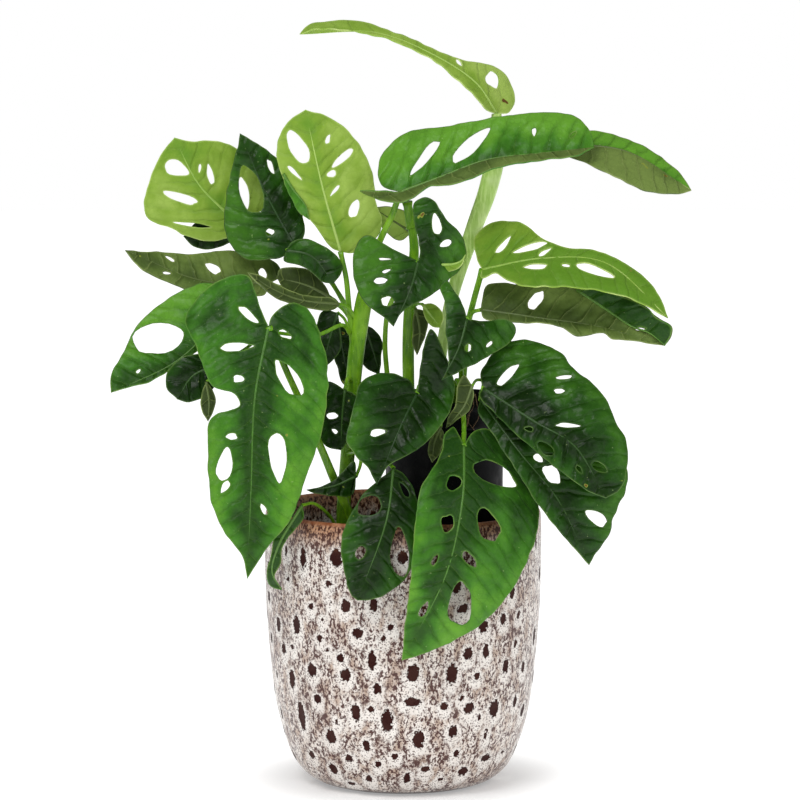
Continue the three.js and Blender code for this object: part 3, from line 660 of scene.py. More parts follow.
        Half(0.1, ((-58, 342), (-63, 324), (-62, 308))),
        Half(0.1, ((-45, 330), (-46, 312))), shade=(-1.5, -1.5), rib=0.1,
    ),
    # A leaf painted near-black to stand for the deep shade inside the plant: painted shade.
    Leaf(
        "leaf_shade_middle", Tone.DARK,
        ((-28, 332, 7), (-22, 315, 8), (-17, 296, 8)),
        Half(0.2, ((-22, 330), (-15, 320), (-16, 306))),
        Half(0.2, ((-32, 318), (-29, 303))), shade=(-1.5, -1.5), rib=0.1,
    ),
    Leaf(
        "leaf_small_olive", Tone.OLIVE,
        ((9, 344, -7), (12, 328, -9), (10, 310, -10)),
        Half(0.1, ((7.5, 338), (7, 318))),
        Half(0.3, ((15, 342), (18, 331), (13, 317))),
    ),
    Leaf(
        "leaf_small_bright", Tone.YOUNG,
        ((14, 347, -14), (20, 339, -16), (27, 330, -17)),
        Half(0.3, ((22, 347), (29, 338))), Half(0.1, ((15, 340), (21, 331))),
    ),
    Leaf(
        "leaf_over_back_rim", Tone.DARK,
        ((-34, 222, -60), (-50, 215, -64), (-70, 212, -66)),
        Half(0.2, ((-36, 233), (-43, 226), (-50, 219), (-60, 214.5))),
        Half(0.2, ((-36, 209), (-52, 208), (-64, 209.5))),
    ),
)

# Curls that show a blade's other side in front of it.
CURLS: tuple[Leaf, ...] = (
    Leaf(
        "leaf_right_olive_curl", Tone.MID,
        ((125, 357.5, -15), (150, 341, -24), (165, 331, -30), (178, 326, -34), (189, 317, -36.5)),
        Half(
            -0.25,
            ((138, 358), (155, 353.5), (174, 345.5), (184, 336.5), (193, 331), (193.5, 326)),
            ((172, 329.5, 3, 1, 0),),
        ),
        shade=(-0.9, -0.9),
    ),
    Leaf(
        "leaf_heart_curl", Tone.YOUNG,
        ((27, 375.5, -28), (36, 376, -29), (42, 378.5, -29), (45, 383, -28)),
        Half(0.1, ((31, 371), (37, 371), (42, 374.5))),
    ),
    # A near-black sheet tucked behind the stems, darkened to stand for the shade there: painted shade.
    Leaf(
        "leaf_shade_left_tuck", Tone.DARK,
        ((-46, 334, 5), (-43, 312, 5), (-38, 286, 5)),
        Half(0.1, ((-51, 327), (-50, 308), (-47, 300), (-44, 290))),
        Half(0.1, ((-38, 324), (-34, 305), (-35, 292))),
        shade=(-1.6, -1.6), rib=0.0,
    ),
    Leaf(
        "leaf_upright_curl", Tone.MID,
        ((-86, 441, 3), (-79, 430, 1), (-70, 418, -2), (-67.5, 408, -5)),
        Half(-0.1, ((-85, 433), (-80, 423), (-74.5, 413))),
        shade=(0.8, 0.8),
    ),
)

STEMS: tuple[Stem, ...] = (
    Stem(
        "stem_left",
        (
            Rod(
                5.8,
                (
                    (-44, 150, -6), (-43, 200, -8), (-39, 250, -8), (-35, 300, -8), (-31, 332, -7),
                    (-28, 350, -6), (-24, 366, -4),
                ),
                girth=(0.85, 0.88, 0.9, 0.95, 1.0, 1.05, 1.08, 1.04, 0.3),
            ),
            Rod(
                2.6,
                (
                    (-30, 346, -7), (-24, 368, -3), (-17, 392, -2), (-8, 411, -3), (-4, 422, -5),
                    (-1, 429, -9),
                ),
            ),
            Rod(2.2, ((-36, 318, -8), (-39, 345, -7), (-41, 366, -7), "leaf_upright")),
            Rod(1.7, ((-34, 332, -6), (-60, 374, 12), (-95, 396, 22), "leaf_left_high")),
            Rod(1.7, ((-34, 335, -6), (-54, 366, 4), (-70, 384, 4), "leaf_left_dark")),
            Rod(1.2, ((-70, 384, 4), (-77, 390, -6), "leaf_left_lobe")),
            Rod(1.2, ((-95, 396, 22), (-108, 401, 29), "leaf_left_under")),
            Rod(1.7, ((-34, 330, -6), (-46, 346, 6), (-66, 352, 12), "leaf_left_olive")),
            Rod(
                1.5,
                ((-38, 326, -8), (-44, 332, -20), (-62, 325, -29), (-100, 328, -32), "leaf_far_left"),
            ),
            Rod(1.3, ((-100, 328, -32), (-112, 316, -38), "leaf_crumpled")),
            Rod(1, ((-112, 316, -38), (-124, 302, -54), "leaf_crumpled_tip")),
            Rod(1.5, ((-34, 336, -8), (-40, 345, -12), "leaf_rolled_edge")),
            Rod(1.2, ((-46, 346, 6), (-49, 350, 0), "leaf_left_inner")),
            Rod(1.2, ((-37, 322, -8), (-42, 336, -12), "leaf_shade_left")),
            Rod(1.2, ((-34, 330, -6), (-31, 333, 1), "leaf_shade_middle")),
            Rod(1.6, ((-37, 290, -8), (-40, 293, -24), "leaf_centre_low")),
            Rod(1.6, ((-41, 238, -8), (-30, 240, -36), (-16, 238, -64), "leaf_front")),
            Rod(1.4, ((-30, 240, -36), (-31, 230, -50), "leaf_over_back_rim")),
        ),
    ),
    Stem(
        "stem_middle",
        (
            Rod(
                4,
                (
                    (6, 252, 5), (4, 290, 3), (4, 330, 1), (6, 362, 1), (8, 388, 2), (6, 404, 3),
                    (5, 413, 3),
                ),
                girth=(1.0, 1.1, 1.0, 0.8, 0.62),
            ),
            Rod(4, ((6.4, 402, 3), (5, 408, 3), (3, 421, 1))),
            Rod(1.2, ((7, 390, 3), (7.2, 396, 10), "leaf_behind_heart")),
            Rod(1.2, ((4, 336, 1), (7, 343, -2), "leaf_small_olive")),
            Rod(1.2, ((5, 342, 1), (10, 347, -6), "leaf_small_bright")),
        ),
    ),
    Stem(
        "stem_heart",
        (
            Rod(
                2,
                (
                    (-9, 252, 10), (-11, 290, 4), (-13, 320, -2), (-10, 345, -10), (2, 366, -18),
                    "leaf_heart",
                ),
            ),
        ),
    ),
    Stem(
        "stem_right",
        (
            Rod(
                5.4,
                (
                    (22, 252, 12), (26, 300, 12), (32, 338, 10), (39, 366, 10), (51, 402, 16),
                    (61, 430, 20), (66.6, 456, 24), "leaf_crest",
                ),
                girth=(0.8, 0.8, 0.9, 1.15, 1.3, 0.5),
            ),
            Rod(1.8, ((65, 446, 22), (82, 461, 19), (98, 464, 14), "leaf_upper_right")),
        ),
        skin=Skin.PALE,
    ),
    Stem(
        "stem_side",
        (
            Rod(2.6, ((40, 252, 6), (44, 300, 3), (46, 328, -2), (51, 350, -9), "leaf_right")),
            Rod(1.6, ((47, 334, -3), (50, 341, -8), "leaf_right_olive")),
            Rod(1.8, ((42, 284, 4), (42, 316, -16), (45, 337, -40), "leaf_centre_right")),
        ),
    ),
    Stem(
        "stem_centre",
        (Rod(2, ((12, 252, 0), (12, 276, -5), (12, 287, -20), (11, 285, -42), "leaf_centre")),),
    ),
    Stem(
        "stem_front",
        (
            Rod(
                2,
                (
                    (38, 252, -12), (38, 278, -20), (39, 292, -32), (42, 284, -42), (44, 260, -50),
                    (44, 250, -60), "leaf_big_front",
                ),
            ),
        ),
    ),
    Stem(
        "stem_right_big",
        (
            Rod(2, ((60, 252, 4), (59, 284, -8), (58, 292, -26), (58.4, 290, -42), "leaf_right_big")),
            Rod(1.8, ((60, 270, 0), (58, 284, -20), (56.4, 283, -38), "leaf_right_low")),
            Rod(1.2, ((58, 292, -24), (53, 292, -42), "leaf_right_lobe")),
        ),
    ),
    Stem(
        "stem_pot_back",
        (Rod(1.4, ((26, 252, -14), (28, 282, -20), (30, 290, -32), (29, 280, -44), "leaf_pot_back")),),
    ),
    Stem(
        "stem_big_left",
        (
            Rod(
                3.4,
                (
                    (-27, 150, -34), (-31, 172, -38), (-38, 192, -44), (-50, 220, -52), (-59, 242, -58),
                    (-73, 274, -60), (-86, 303, -59), "leaf_big_left",
                ),
                girth=(1.4, 1.0, 0.75, 0.62),
            ),
        ),
    ),
    Stem(
        "stem_rim",
        (
            Rod(
                1.3,
                ((-45, 150, -34), (-46, 172, -42), (-51, 190, -52), (-64, 202, -66), "leaf_over_rim"),
            ),
        ),
    ),
)

# Bare clay spots on the front: angle round the pot in degrees, height, half width and half height.
SPOTS: tuple[tuple[float, float, float, float], ...] = (
    (-56, 176, 2, 4), (-45, 173, 3, 8), (-28, 176, 5, 6.5), (0, 178, 3.5, 4.5), (-55, 156, 2, 2.5),
    (-32, 157, 3, 2.5), (-24, 142, 3.5, 5), (-12, 144, 3, 6), (-41, 139, 2.5, 2.5), (-50, 124, 4, 7),
    (-65, 121, 3.5, 5.5), (-37, 117, 2.5, 3), (-19, 123, 4, 4), (-5, 128, 2.5, 2.5), (-8, 120, 2, 2.5),
    (-35, 131, 2, 1.5), (-61, 104, 3, 4.5), (-27, 104, 3, 3.5), (-13, 104, 3, 7), (-42, 93, 4, 5),
    (-25, 92, 4, 5), (4, 95, 4.5, 6.5), (21, 93, 4, 7.5), (28, 107, 3.5, 5), (37, 107, 3, 5.5),
    (46, 129, 3, 4.5), (35, 126, 4, 5), (51, 147, 3, 5), (56, 130, 2.5, 3), (49, 94, 3, 5.5),
    (33, 90, 2.5, 3), (-56, 83, 3.5, 7), (-11, 83, 3, 4), (-40, 72, 3.5, 3.5), (4, 74, 6, 3.5),
    (18, 70, 3, 3), (-21, 65, 3.5, 6.5), (-14, 68, 2.5, 2.5), (-52, 57, 4, 10.5), (-7, 60, 4, 8.5),
    (30, 67, 4, 4.5), (44, 64, 5, 6), (26, 75, 2, 2.5), (59, 66, 2.5, 4.5), (-35, 45, 5, 5),
    (7, 46, 4, 7), (23, 51, 3.5, 5), (-17, 41, 2.5, 4.5), (41, 46, 1.5, 6.5), (-27, 30, 3, 3),
    (-12, 27, 2.5, 2.5), (-4, 33, 2.5, 2.5), (-38, 20, 3.5, 4.5), (11, 23, 3, 2.5), (26, 34, 2, 3),
    (45, 27, 4.5, 3), (58, 28, 3, 1.5), (-51, 28, 3.5, 3), (2, 16, 2.5, 4.5), (-18, 15, 2.5, 3),
    (32, 19, 4, 3.5), (20, 14, 2.5, 1.5), (-30, 9, 3.5, 1.5), (69, 56, 3.5, 5), (63, 90, 2.5, 5),
    (22, 156, 4, 5), (25, 140, 4.5, 3.5), (36, 59, 1.5, 4), (55, 109, 2, 3.5), (-54, 107, 2, 2.5),
    (-31, 144, 1.5, 1.5), (-33, 109, 1.5, 2.5), (-31, 57, 1.5, 2.5),
)

# Roots that hang over the rim of the black pot.
ROOTS = Stem(
    "hanging_roots",
    (
        Rod(
            0.6,
            ((42, 270, -24), (44, 281.5, -33), (46.5, 276, -37.5), (48, 268, -37), (46, 258, -38)),
        ),
        Rod(0.5, ((50, 270, -20), (52, 282, -31), (53.5, 274, -34.5), (55, 266, -34), (50, 257, -37))),
        Rod(0.4, ((46, 270, -22), (49, 282, -31), (51, 273, -36), (46, 264, -38), (52, 255, -37))),
    ),
    Skin.BARK,
)

NURSERY = NurserySizes()

# The potting mix that the black pot stands on, and the soil at the top of the black pot.
MIX_BED = Bed(
    radius=93.4, top=164.6, rough=1.0,
    floor=((0, 9.4), (57, 9.4), (69, 18.4), (79, 38.3), (86, 64.2), (90.6, 104), (93, 140)),
    reach=91, lift=0.7, crumbs=900, seed=4,
)
SOIL_BED = Bed(
    radius=NURSERY.base + 1.6, top=268, rough=1.4,
    floor=(
        (0, NURSERY.foot + 2), (NURSERY.base - 3, NURSERY.foot + 2),
        (NURSERY.base - 2, NURSERY.foot + 3),
    ),
    reach=NURSERY.base, lift=0.4, crumbs=520, seed=3, x=NURSERY.x, y=NURSERY.y,
)
# ---- curves -----------------------------------------------------------------------------------
class SmoothLine:
    """A centripetal Catmull-Rom curve through its points."""

    def __init__(self, points: Sequence[Sequence[float]]) -> None:
        """Keeps the points.

        Args:
            points: The points in order, all with the same number of coordinates.
        """
        self.points = [Vector(p) for p in points]

    def at(self, t: float) -> Vector:
        """Finds a point of the curve.

        Args:
            t: From 0 at the first point to 1 at the last, in equal shares per stretch.

        Returns:
            The point.
        """
        pts = self.points
        last = len(pts) - 1
        i = min(int(t * last), last - 1)
        w = t * last - i
        before = pts[i - 1] if i > 0 else pts[0] * 2 - pts[1]
        after = pts[i + 2] if i + 2 <= last else pts[last] * 2 - pts[last - 1]
        d0, d1, d2 = (
            max((b - a).length, 1e-6) ** 0.5
            for a, b in ((before, pts[i]), (pts[i], pts[i + 1]), (pts[i + 1], after))
        )
        x0, x1, x2, x3 = before, pts[i], pts[i + 1], after
        t1 = ((x1 - x0) / d0 - (x2 - x0) / (d0 + d1) + (x2 - x1) / d1) * d1
        t2 = ((x2 - x1) / d1 - (x3 - x1) / (d1 + d2) + (x3 - x2) / d2) * d1
        return (
            x1 + t1 * w + (x2 * 3 - x1 * 3 - t1 * 2 - t2) * w * w
            + (x1 * 2 - x2 * 2 + t1 + t2) * w * w * w
        )

    def evenly(self, count: int) -> list[Vector]:
        """Returns count + 1 points at equal steps of t."""
        return [self.at(k / count) for k in range(count + 1)]

    def dense(self, step: float) -> list[Vector]:
        """Returns points no more than about step apart, with every given point among them."""
        out = []
        last = len(self.points) - 1
        for i in range(last):
            parts = max(1, math.ceil((self.points[i + 1] - self.points[i]).length / step))
            out += [self.at((i + k / parts) / last) for k in range(parts)]
        return out + [self.points[last]]

    def length(self) -> float:
        """Returns the curve's length."""
        pts = self.evenly(60)
        return sum((b - a).length for a, b in zip(pts, pts[1:]))


# ---- leaf blades ------------------------------------------------------------------------------
# Rows of an even triangle mesh, and how clear of the border its inner points stay, as shares of its step.
ROW, CLEAR = 0.87, 0.55


class VeinOrder:
    """Numbers the side veins of one half, so that its holes lie between them."""

    def __init__(self, length: float, holes: Sequence[tuple[float, float]], sizes: BladeSizes) -> None:
        """Sets a vein between each two holes, and fills longer stretches evenly.

        Args:
            length: The midrib's length.
            holes: Each hole's centre as (along the midrib, out from it).
            sizes: The veins' spacing and slope.
        """
        self.sizes = sizes
        starts = sorted(self.start(along, out) for along, out in holes)
        between = [(a + b) / 2 for a, b in zip(starts, starts[1:]) if b - a > sizes.vein_close]
        fixed = [-length * 0.3, *between, length * 1.2]
        self.marks: list[float] = [fixed[0]]
        for a, b in zip(fixed, fixed[1:]):
            parts = max(1, round((b - a) / sizes.vein_gap))
            self.marks += [a + (b - a) * k / parts for k in range(1, parts + 1)]

    def start(self, along: float, out: float) -> float:
        """Returns where the vein through a point leaves the midrib."""
        return along - out * self.sizes.vein_slope - out * out * self.sizes.vein_bend

    def order(self, along: float, out: float) -> float:
        """Returns a point's place among the veins, a whole number on each vein."""
        s = self.start(along, out)
        for k, (a, b) in enumerate(zip(self.marks, self.marks[1:])):
            if s < b:
                return k + (s - a) / (b - a)
        return float(len(self.marks))


class HalfSheet:
    """One half of a blade, laid out in elevation and bent to its depth."""

    def __init__(self, leaf: Leaf, half: Half, side: float, sizes: BladeSizes) -> None:
        """Measures the half against its midrib.

        Args:
            leaf: The whole blade.
            half: The half to make.
            side: -1 or 1, the sign that tells the halves apart in the blade's maps.
            sizes: The fineness of the mesh.
        """
        self.half, self.side, self.sizes = half, side, sizes
        self.rib = SmoothLine(leaf.midrib)
        self.reach = self.rib.length()
        self.spine = max(10, round(self.reach / sizes.spine_step))
        stations = self.rib.evenly(sizes.stations)
        base, tip = stations[0], stations[-1]
        self.base = Vector((base.x, base.y))
        self.chord = Vector((tip.x - base.x, tip.y - base.y)).normalized()
        self.local = [(*self.frame(p.x, p.y), p.z) for p in stations]
        self.phase = random.Random(leaf.name).uniform(0, 50)
        self.rims = [self.hole_rim(hole) for hole in half.holes]
        centres = [self.offset(hole[0], hole[1])[:2] for hole in half.holes]
        self.veins = VeinOrder(self.reach, centres, sizes)

    def frame(self, x: float, z: float) -> tuple[float, float]:
        """Returns a point's place along and across the blade's chord."""
        d = Vector((x, z)) - self.base
        return d.dot(self.chord), d.y * self.chord.x - d.x * self.chord.y

    def offset(self, x: float, z: float) -> tuple[float, float, float]:
        """Returns (along, out from the midrib, the midrib's depth there)."""
        along, across = self.frame(x, z)
        i = 0
        while i < self.sizes.stations - 1 and self.local[i + 1][0] < along:
            i += 1
        a, b = self.local[i], self.local[i + 1]
        t = (along - a[0]) / max(b[0] - a[0], 1e-6)
        line = a[1] + (b[1] - a[1]) * max(0.0, min(t, 1.0))
        return along, abs(across - line), a[2] + (b[2] - a[2]) * max(-3.0, min(t, 4.0))

    def outline(self) -> list[Vector]:
        """Returns the outer ring, midrib first, as points of the elevation."""
        spine = [Vector((p.x, p.y)) for p in self.rib.evenly(self.spine)]
        edge = SmoothLine([spine[0], *self.half.edge, spine[-1]]).dense(self.sizes.edge_step)
        last = len(edge) - 1
        edge = [p + self.stray(p) * min(1.0, k / 5, (last - k) / 5) for k, p in enumerate(edge)]
        return spine + edge[-2:0:-1]

    def stray(self, p: Vector) -> Vector:
        """Returns how far the cut edge wavers at a point."""
        at = Vector((p.x * 0.13, p.y * 0.13, self.phase))
        return Vector((noise.noise(at), noise.noise(at + Vector((0, 0, 40))))) * self.sizes.waver

    def hole_rim(self, hole: tuple[float, float, float, float, float]) -> list[Vector]:
        """Returns the rim of a hole, an uneven egg about its ellipse."""
        x, z, long, short, tilt = hole
        turn = Matrix.Rotation(math.radians(tilt), 2)
        blunt = math.copysign(self.sizes.egg, math.sin(x * 1.7 + z))
        rim = []
        for k in range(self.sizes.hole_sides):
            angle = 2 * math.pi * k / self.sizes.hole_sides
            way = Vector((math.cos(angle), math.sin(angle) * (1 + blunt * math.cos(angle))))
            uneven = 1 + self.sizes.uneven * noise.noise(Vector((way.x * 1.2 + x, way.y * 1.2 + z, 3)))
            rim.append(Vector((x, z)) + turn @ Vector((way.x * long, way.y * short)) * uneven)
        return rim

    def in_hole(self, x: float, z: float) -> bool:
        """Returns True inside one of the half's holes."""
        for hole, rim in zip(self.half.holes, self.rims):
            if abs(x - hole[0]) + abs(z - hole[1]) > hole[2] * 1.8:
                continue
            inside = False
            for a, b in zip(rim, rim[1:] + rim[:1]):
                if (a.y > z) != (b.y > z) and x < a.x + (z - a.y) * (b.x - a.x) / (b.y - a.y):
                    inside = not inside
            if inside:
                return True
        return False

    def triangulated(self) -> tuple[list[Vector], list[list[int]], list[float]]:
        """Fills the outline with a fine even mesh.

        Returns:
            The points, the triangles, and each point's distance to the cut edge.
        """
        outer = self.outline()
        points: list[Vector] = []
        borders: list[tuple[int, int]] = []
        for ring in (outer, *self.rims):
            first = len(points)
            points += ring
            borders += [(first + k, first + (k + 1) % len(ring)) for k in range(len(ring))]
        tree = kdtree.KDTree(len(points))
        for k, p in enumerate(points):
            tree.insert((p.x, p.y, 0), k)
        tree.balance()
        step = self.sizes.step
        low = Vector((min(p.x for p in outer), min(p.y for p in outer)))
        high = Vector((max(p.x for p in outer), max(p.y for p in outer)))
        for row in range(int((high.y - low.y) / (step * ROW)) + 1):
            for column in range(int((high.x - low.x) / step) + 1):
                p = low + Vector(((column + row % 2 * 0.5) * step, row * step * ROW))
                if tree.find((p.x, p.y, 0))[2] > step * CLEAR:
                    points.append(p)
        made, _, faces, *_ = delaunay_2d_cdt(points, borders, [], 1, 1e-5)
        faces = [
            face for face in faces
            if not self.in_hole(
                sum(made[k].x for k in face) / len(face), sum(made[k].y for k in face) / len(face))
        ]
        cut = kdtree.KDTree(len(borders))
        for k, p in enumerate(points[:len(borders)]):
            if k > self.spine:
                cut.insert((p.x, p.y, 0), k)
        cut.balance()
        return made, faces, [cut.find((p.x, p.y, 0))[2] for p in made]

    def pucker(self, along: float, out: float, layer: float) -> float:
        """Returns the height of one layer of quilting, 0 in its sharp creases and about 1 at its tops."""
        return abs(noise.noise(Vector((along, out, self.phase + layer)))) * 2.2

    def surface(self, x: float, z: float, inset: float) -> tuple[float, float]:
        """Returns the depth of a point and how far it is puffed out towards the viewer.

        Args:
            x: Place across.
            z: Height.
            inset: Distance to the cut edge.

        Returns:
            The depth in millimetres, and the puff from 0 in a crease to about 1.
        """
        along, out, rib = self.offset(x, z)
        sizes = self.sizes
        plain = rib + self.half.lean * out + self.half.cup * out * out / 100
        start = self.veins.start(along, out)
        swell = abs(math.sin(math.pi * self.veins.order(along, out))) ** 0.7
        quilt = self.pucker(start * 0.075, out * 0.05, 9)
        small = self.pucker(start * 0.16, out * 0.13, 31)
        puff = (0.35 * swell + 0.45 * quilt + 0.2 * small) * min(1.0, inset / 5) * min(1.0, out / 6)
        wave = noise.noise(Vector((x * 0.035, z * 0.035, self.phase))) * min(1.0, out / 14)
        return plain - puff * sizes.puff - wave * sizes.ripple, puff


# ---- mesh helpers -----------------------------------------------------------------------------
def new_object(name: str, bm: bmesh.types.BMesh) -> bpy.types.Object:
    """Turns a bmesh into an object of the scene.

    Args:
        name: The object's name.
        bm: The mesh, which is freed.

    Returns:
        The object, at the origin.
    """
    mesh = bpy.data.meshes.new(name)
    bm.to_mesh(mesh)
    bm.free()
    obj = bpy.data.objects.new(name, mesh)
    bpy.context.scene.collection.objects.link(obj)
    return obj


def add_tube(
    bm: bmesh.types.BMesh,
    route: Sequence[Vector],
    widths: Sequence[float],
    sides: int,
    material: int = 0,
    groove: float = 0.0,
) -> None:
    """Sweeps a round section along a route.

    Args:
        bm: The mesh to add to.
        route: The centre line in metres.
        widths: The radius at each point of the route.
        sides: Sides of the section.
        material: Material index of its faces.
        groove: Share of the radius that a channel along the front takes away.
    """
    uv = bm.loops.layers.uv.verify()
    rings = []
    gone = [0.0]
    for a, b in zip(route, route[1:]):
        gone.append(gone[-1] + (b - a).length)
    for k, (centre, width) in enumerate(zip(route, widths)):
        ahead = route[min(k + 1, len(route) - 1)] - route[max(k - 1, 0)]
        ring = bmesh.ops.create_circle(bm, radius=1.0, segments=sides)["verts"]
        across = Vector((0, -1, 0)).cross(ahead).normalized()
        front = ahead.cross(across).normalized()
        for j, vert in enumerate(ring):
            angle = 2 * math.pi * j / sides
            dent = 1 - groove * max(0.0, math.cos(angle)) ** 6
            vert.co = centre + (front * math.cos(angle) + across * math.sin(angle)) * width * dent
        rings.append(ring)
    for k in range(len(rings) - 1):
        for j in range(sides):
            nxt = (j + 1) % sides
            face = bm.faces.new((rings[k][j], rings[k][nxt], rings[k + 1][nxt], rings[k + 1][j]))
            face.material_index = material
            face.smooth = True
            turns = (j / sides, (j + 1) / sides)
            spans = (gone[k] / MM, gone[k + 1] / MM)
            for loop, place in zip(face.loops, (
                (spans[0], turns[0]), (spans[0], turns[1]), (spans[1], turns[1]), (spans[1], turns[0]),
            )):
                loop[uv].uv = place
    for ring in (rings[0][::-1], rings[-1]):
        bm.faces.new(ring).material_index = material


# ---- materials --------------------------------------------------------------------------------
def tint(code: str) -> tuple[float, float, float, float]:
    """Turns an sRGB hex colour such as "8FA33B" into linear red, green, blue and alpha."""
    parts = [int(code[k:k + 2], 16) / 255 for k in (0, 2, 4)]
    red, green, blue = (c / 12.92 if c <= 0.04045 else ((c + 0.055) / 1.055) ** 2.4 for c in parts)
    return red, green, blue, 1.0


class Shader:
    """A material being put together from nodes."""

    def __init__(self, name: str) -> None:
        """Starts an empty material.

        Args:
            name: The real finish that it stands for.
        """
        self.material = bpy.data.materials.new(name)
        self.material.use_nodes = True
        self.tree = self.material.node_tree
        self.tree.nodes.clear()
        self.place = self.add("ShaderNodeTexCoord").outputs["Object"]

    def add(self, kind: str, inputs: dict[Any, Any] | None = None, **settings: Any) -> bpy.types.Node:
        """Adds a node.

        Args:
            kind: The node's type.
            inputs: Values or sockets for its inputs, by name or number.
            settings: Its own settings.

        Returns:
            The node.
        """
        node = self.tree.nodes.new(kind)
        for key, value in settings.items():
            setattr(node, key, value)
        for key, value in (inputs or {}).items():
            if isinstance(value, Socket):
                self.tree.links.new(value, node.inputs[key])
            else:
                node.inputs[key].default_value = value
        return node

    def math(self, operation: str, *values: Any, clamp: bool = False) -> Socket:
        """Works on numbers."""
        inputs = dict(enumerate(values))
        return self.add("ShaderNodeMath", inputs, operation=operation, use_clamp=clamp).outputs[0]

    def vector(self, operation: str, *values: Any) -> Socket:
        """Works on vectors."""
        return self.add("ShaderNodeVectorMath", dict(enumerate(values)), operation=operation).outputs[0]

    def noise(self, size: float, detail: float = 3.0, rough: float = 0.5, at: Any = None) -> Socket:
        """Returns cloudy noise from 0 to 1, with clouds of so many millimetres."""
        inputs = {
            "Vector": at or self.place, "Scale": 1 / (size * MM), "Detail": detail, "Roughness": rough,
        }
        return self.add("ShaderNodeTexNoise", inputs).outputs["Fac"]

    def span(self, value: Any, low: float, high: float, start: float = 0.0, end: float = 1.0) -> Socket:
        """Carries low..high smoothly to start..end."""
        inputs = {"Value": value, "From Min": low, "From Max": high, "To Min": start, "To Max": end}
        return self.add("ShaderNodeMapRange", inputs, interpolation_type="SMOOTHSTEP").outputs[0]

    def mix(self, share: Any, first: Any, second: Any, blend: str = "MIX") -> Socket:
        """Mixes two colours."""
        inputs = {0: share, 6: first, 7: second}
        node = self.add("ShaderNodeMix", inputs, data_type="RGBA", blend_type=blend)
        return node.outputs[2]

    def uv(self, name: str) -> tuple[Socket, Socket]:
        """Returns the two coordinates of one of the piece's own maps."""
        place = self.add("ShaderNodeUVMap", uv_map=name).outputs[0]
        parts = self.add("ShaderNodeSeparateXYZ", {0: place})
        return parts.outputs[0], parts.outputs[1]

    def value(self, name: str) -> Socket:
        """Returns a number that the piece carries at each point."""
        return self.add("ShaderNodeAttribute", attribute_name=name).outputs["Fac"]

    def bump(self, height: Any, distance: float, strength: float = 1.0, below: Any = None) -> Socket:
        """Returns the surface direction over a height, with its depth in metres."""
        inputs = {"Height": height, "Distance": distance, "Strength": strength}
        if below is not None:
            inputs["Normal"] = below
        return self.add("ShaderNodeBump", inputs).outputs[0]

    def principled(self, **inputs: Any) -> Socket:
        """Returns a surface. Input names have spaces where the words here have underscores."""
        named = {key.replace("_", " "): value for key, value in inputs.items()}
        return self.add("ShaderNodeBsdfPrincipled", named).outputs[0]

    def finish(self, surface: Socket) -> bpy.types.Material:
        """Sends the surface to the output and returns the material."""
        self.add("ShaderNodeOutputMaterial", {"Surface": surface})
        return self.material


@dataclass(frozen=True)
class LeafColours:
    """A leaf's colours: its body, its deep tone between veins, which also paints shade into grooves and
    creases, its veins, and its thin cut margin.
    """

    body: str
    deep: str
    light: str
    vein: str
    margin: str
    glow: float
    rough: float
    relief: float


LEAF_COLOURS: dict[Tone, LeafColours] = {
    Tone.YOUNG: LeafColours("8CB238", "679A24", "B6D466", "C4DA80", "C4DA80", 0.24, 0.42, 0.8),
    Tone.MID: LeafColours("3E7A1C", "1C420E", "68A42E", "8AB44A", "6F9338", 0.10, 0.34, 1.2),
    Tone.DARK: LeafColours("204A0C", "0C2304", "44791C", "5C8C34", "587A30", 0.05, 0.30, 1.3),
    Tone.OLIVE: LeafColours("52692C", "33431C", "7A9246", "8A9C56", "94A65C", 0.14, 0.52, 1.1),
}


# Pale specks of sap, and the dry brown scars with their yellow rings.
SPECK, SCAR_RING, SCAR = "A9C27C", "8FA03C", "6E4A26"


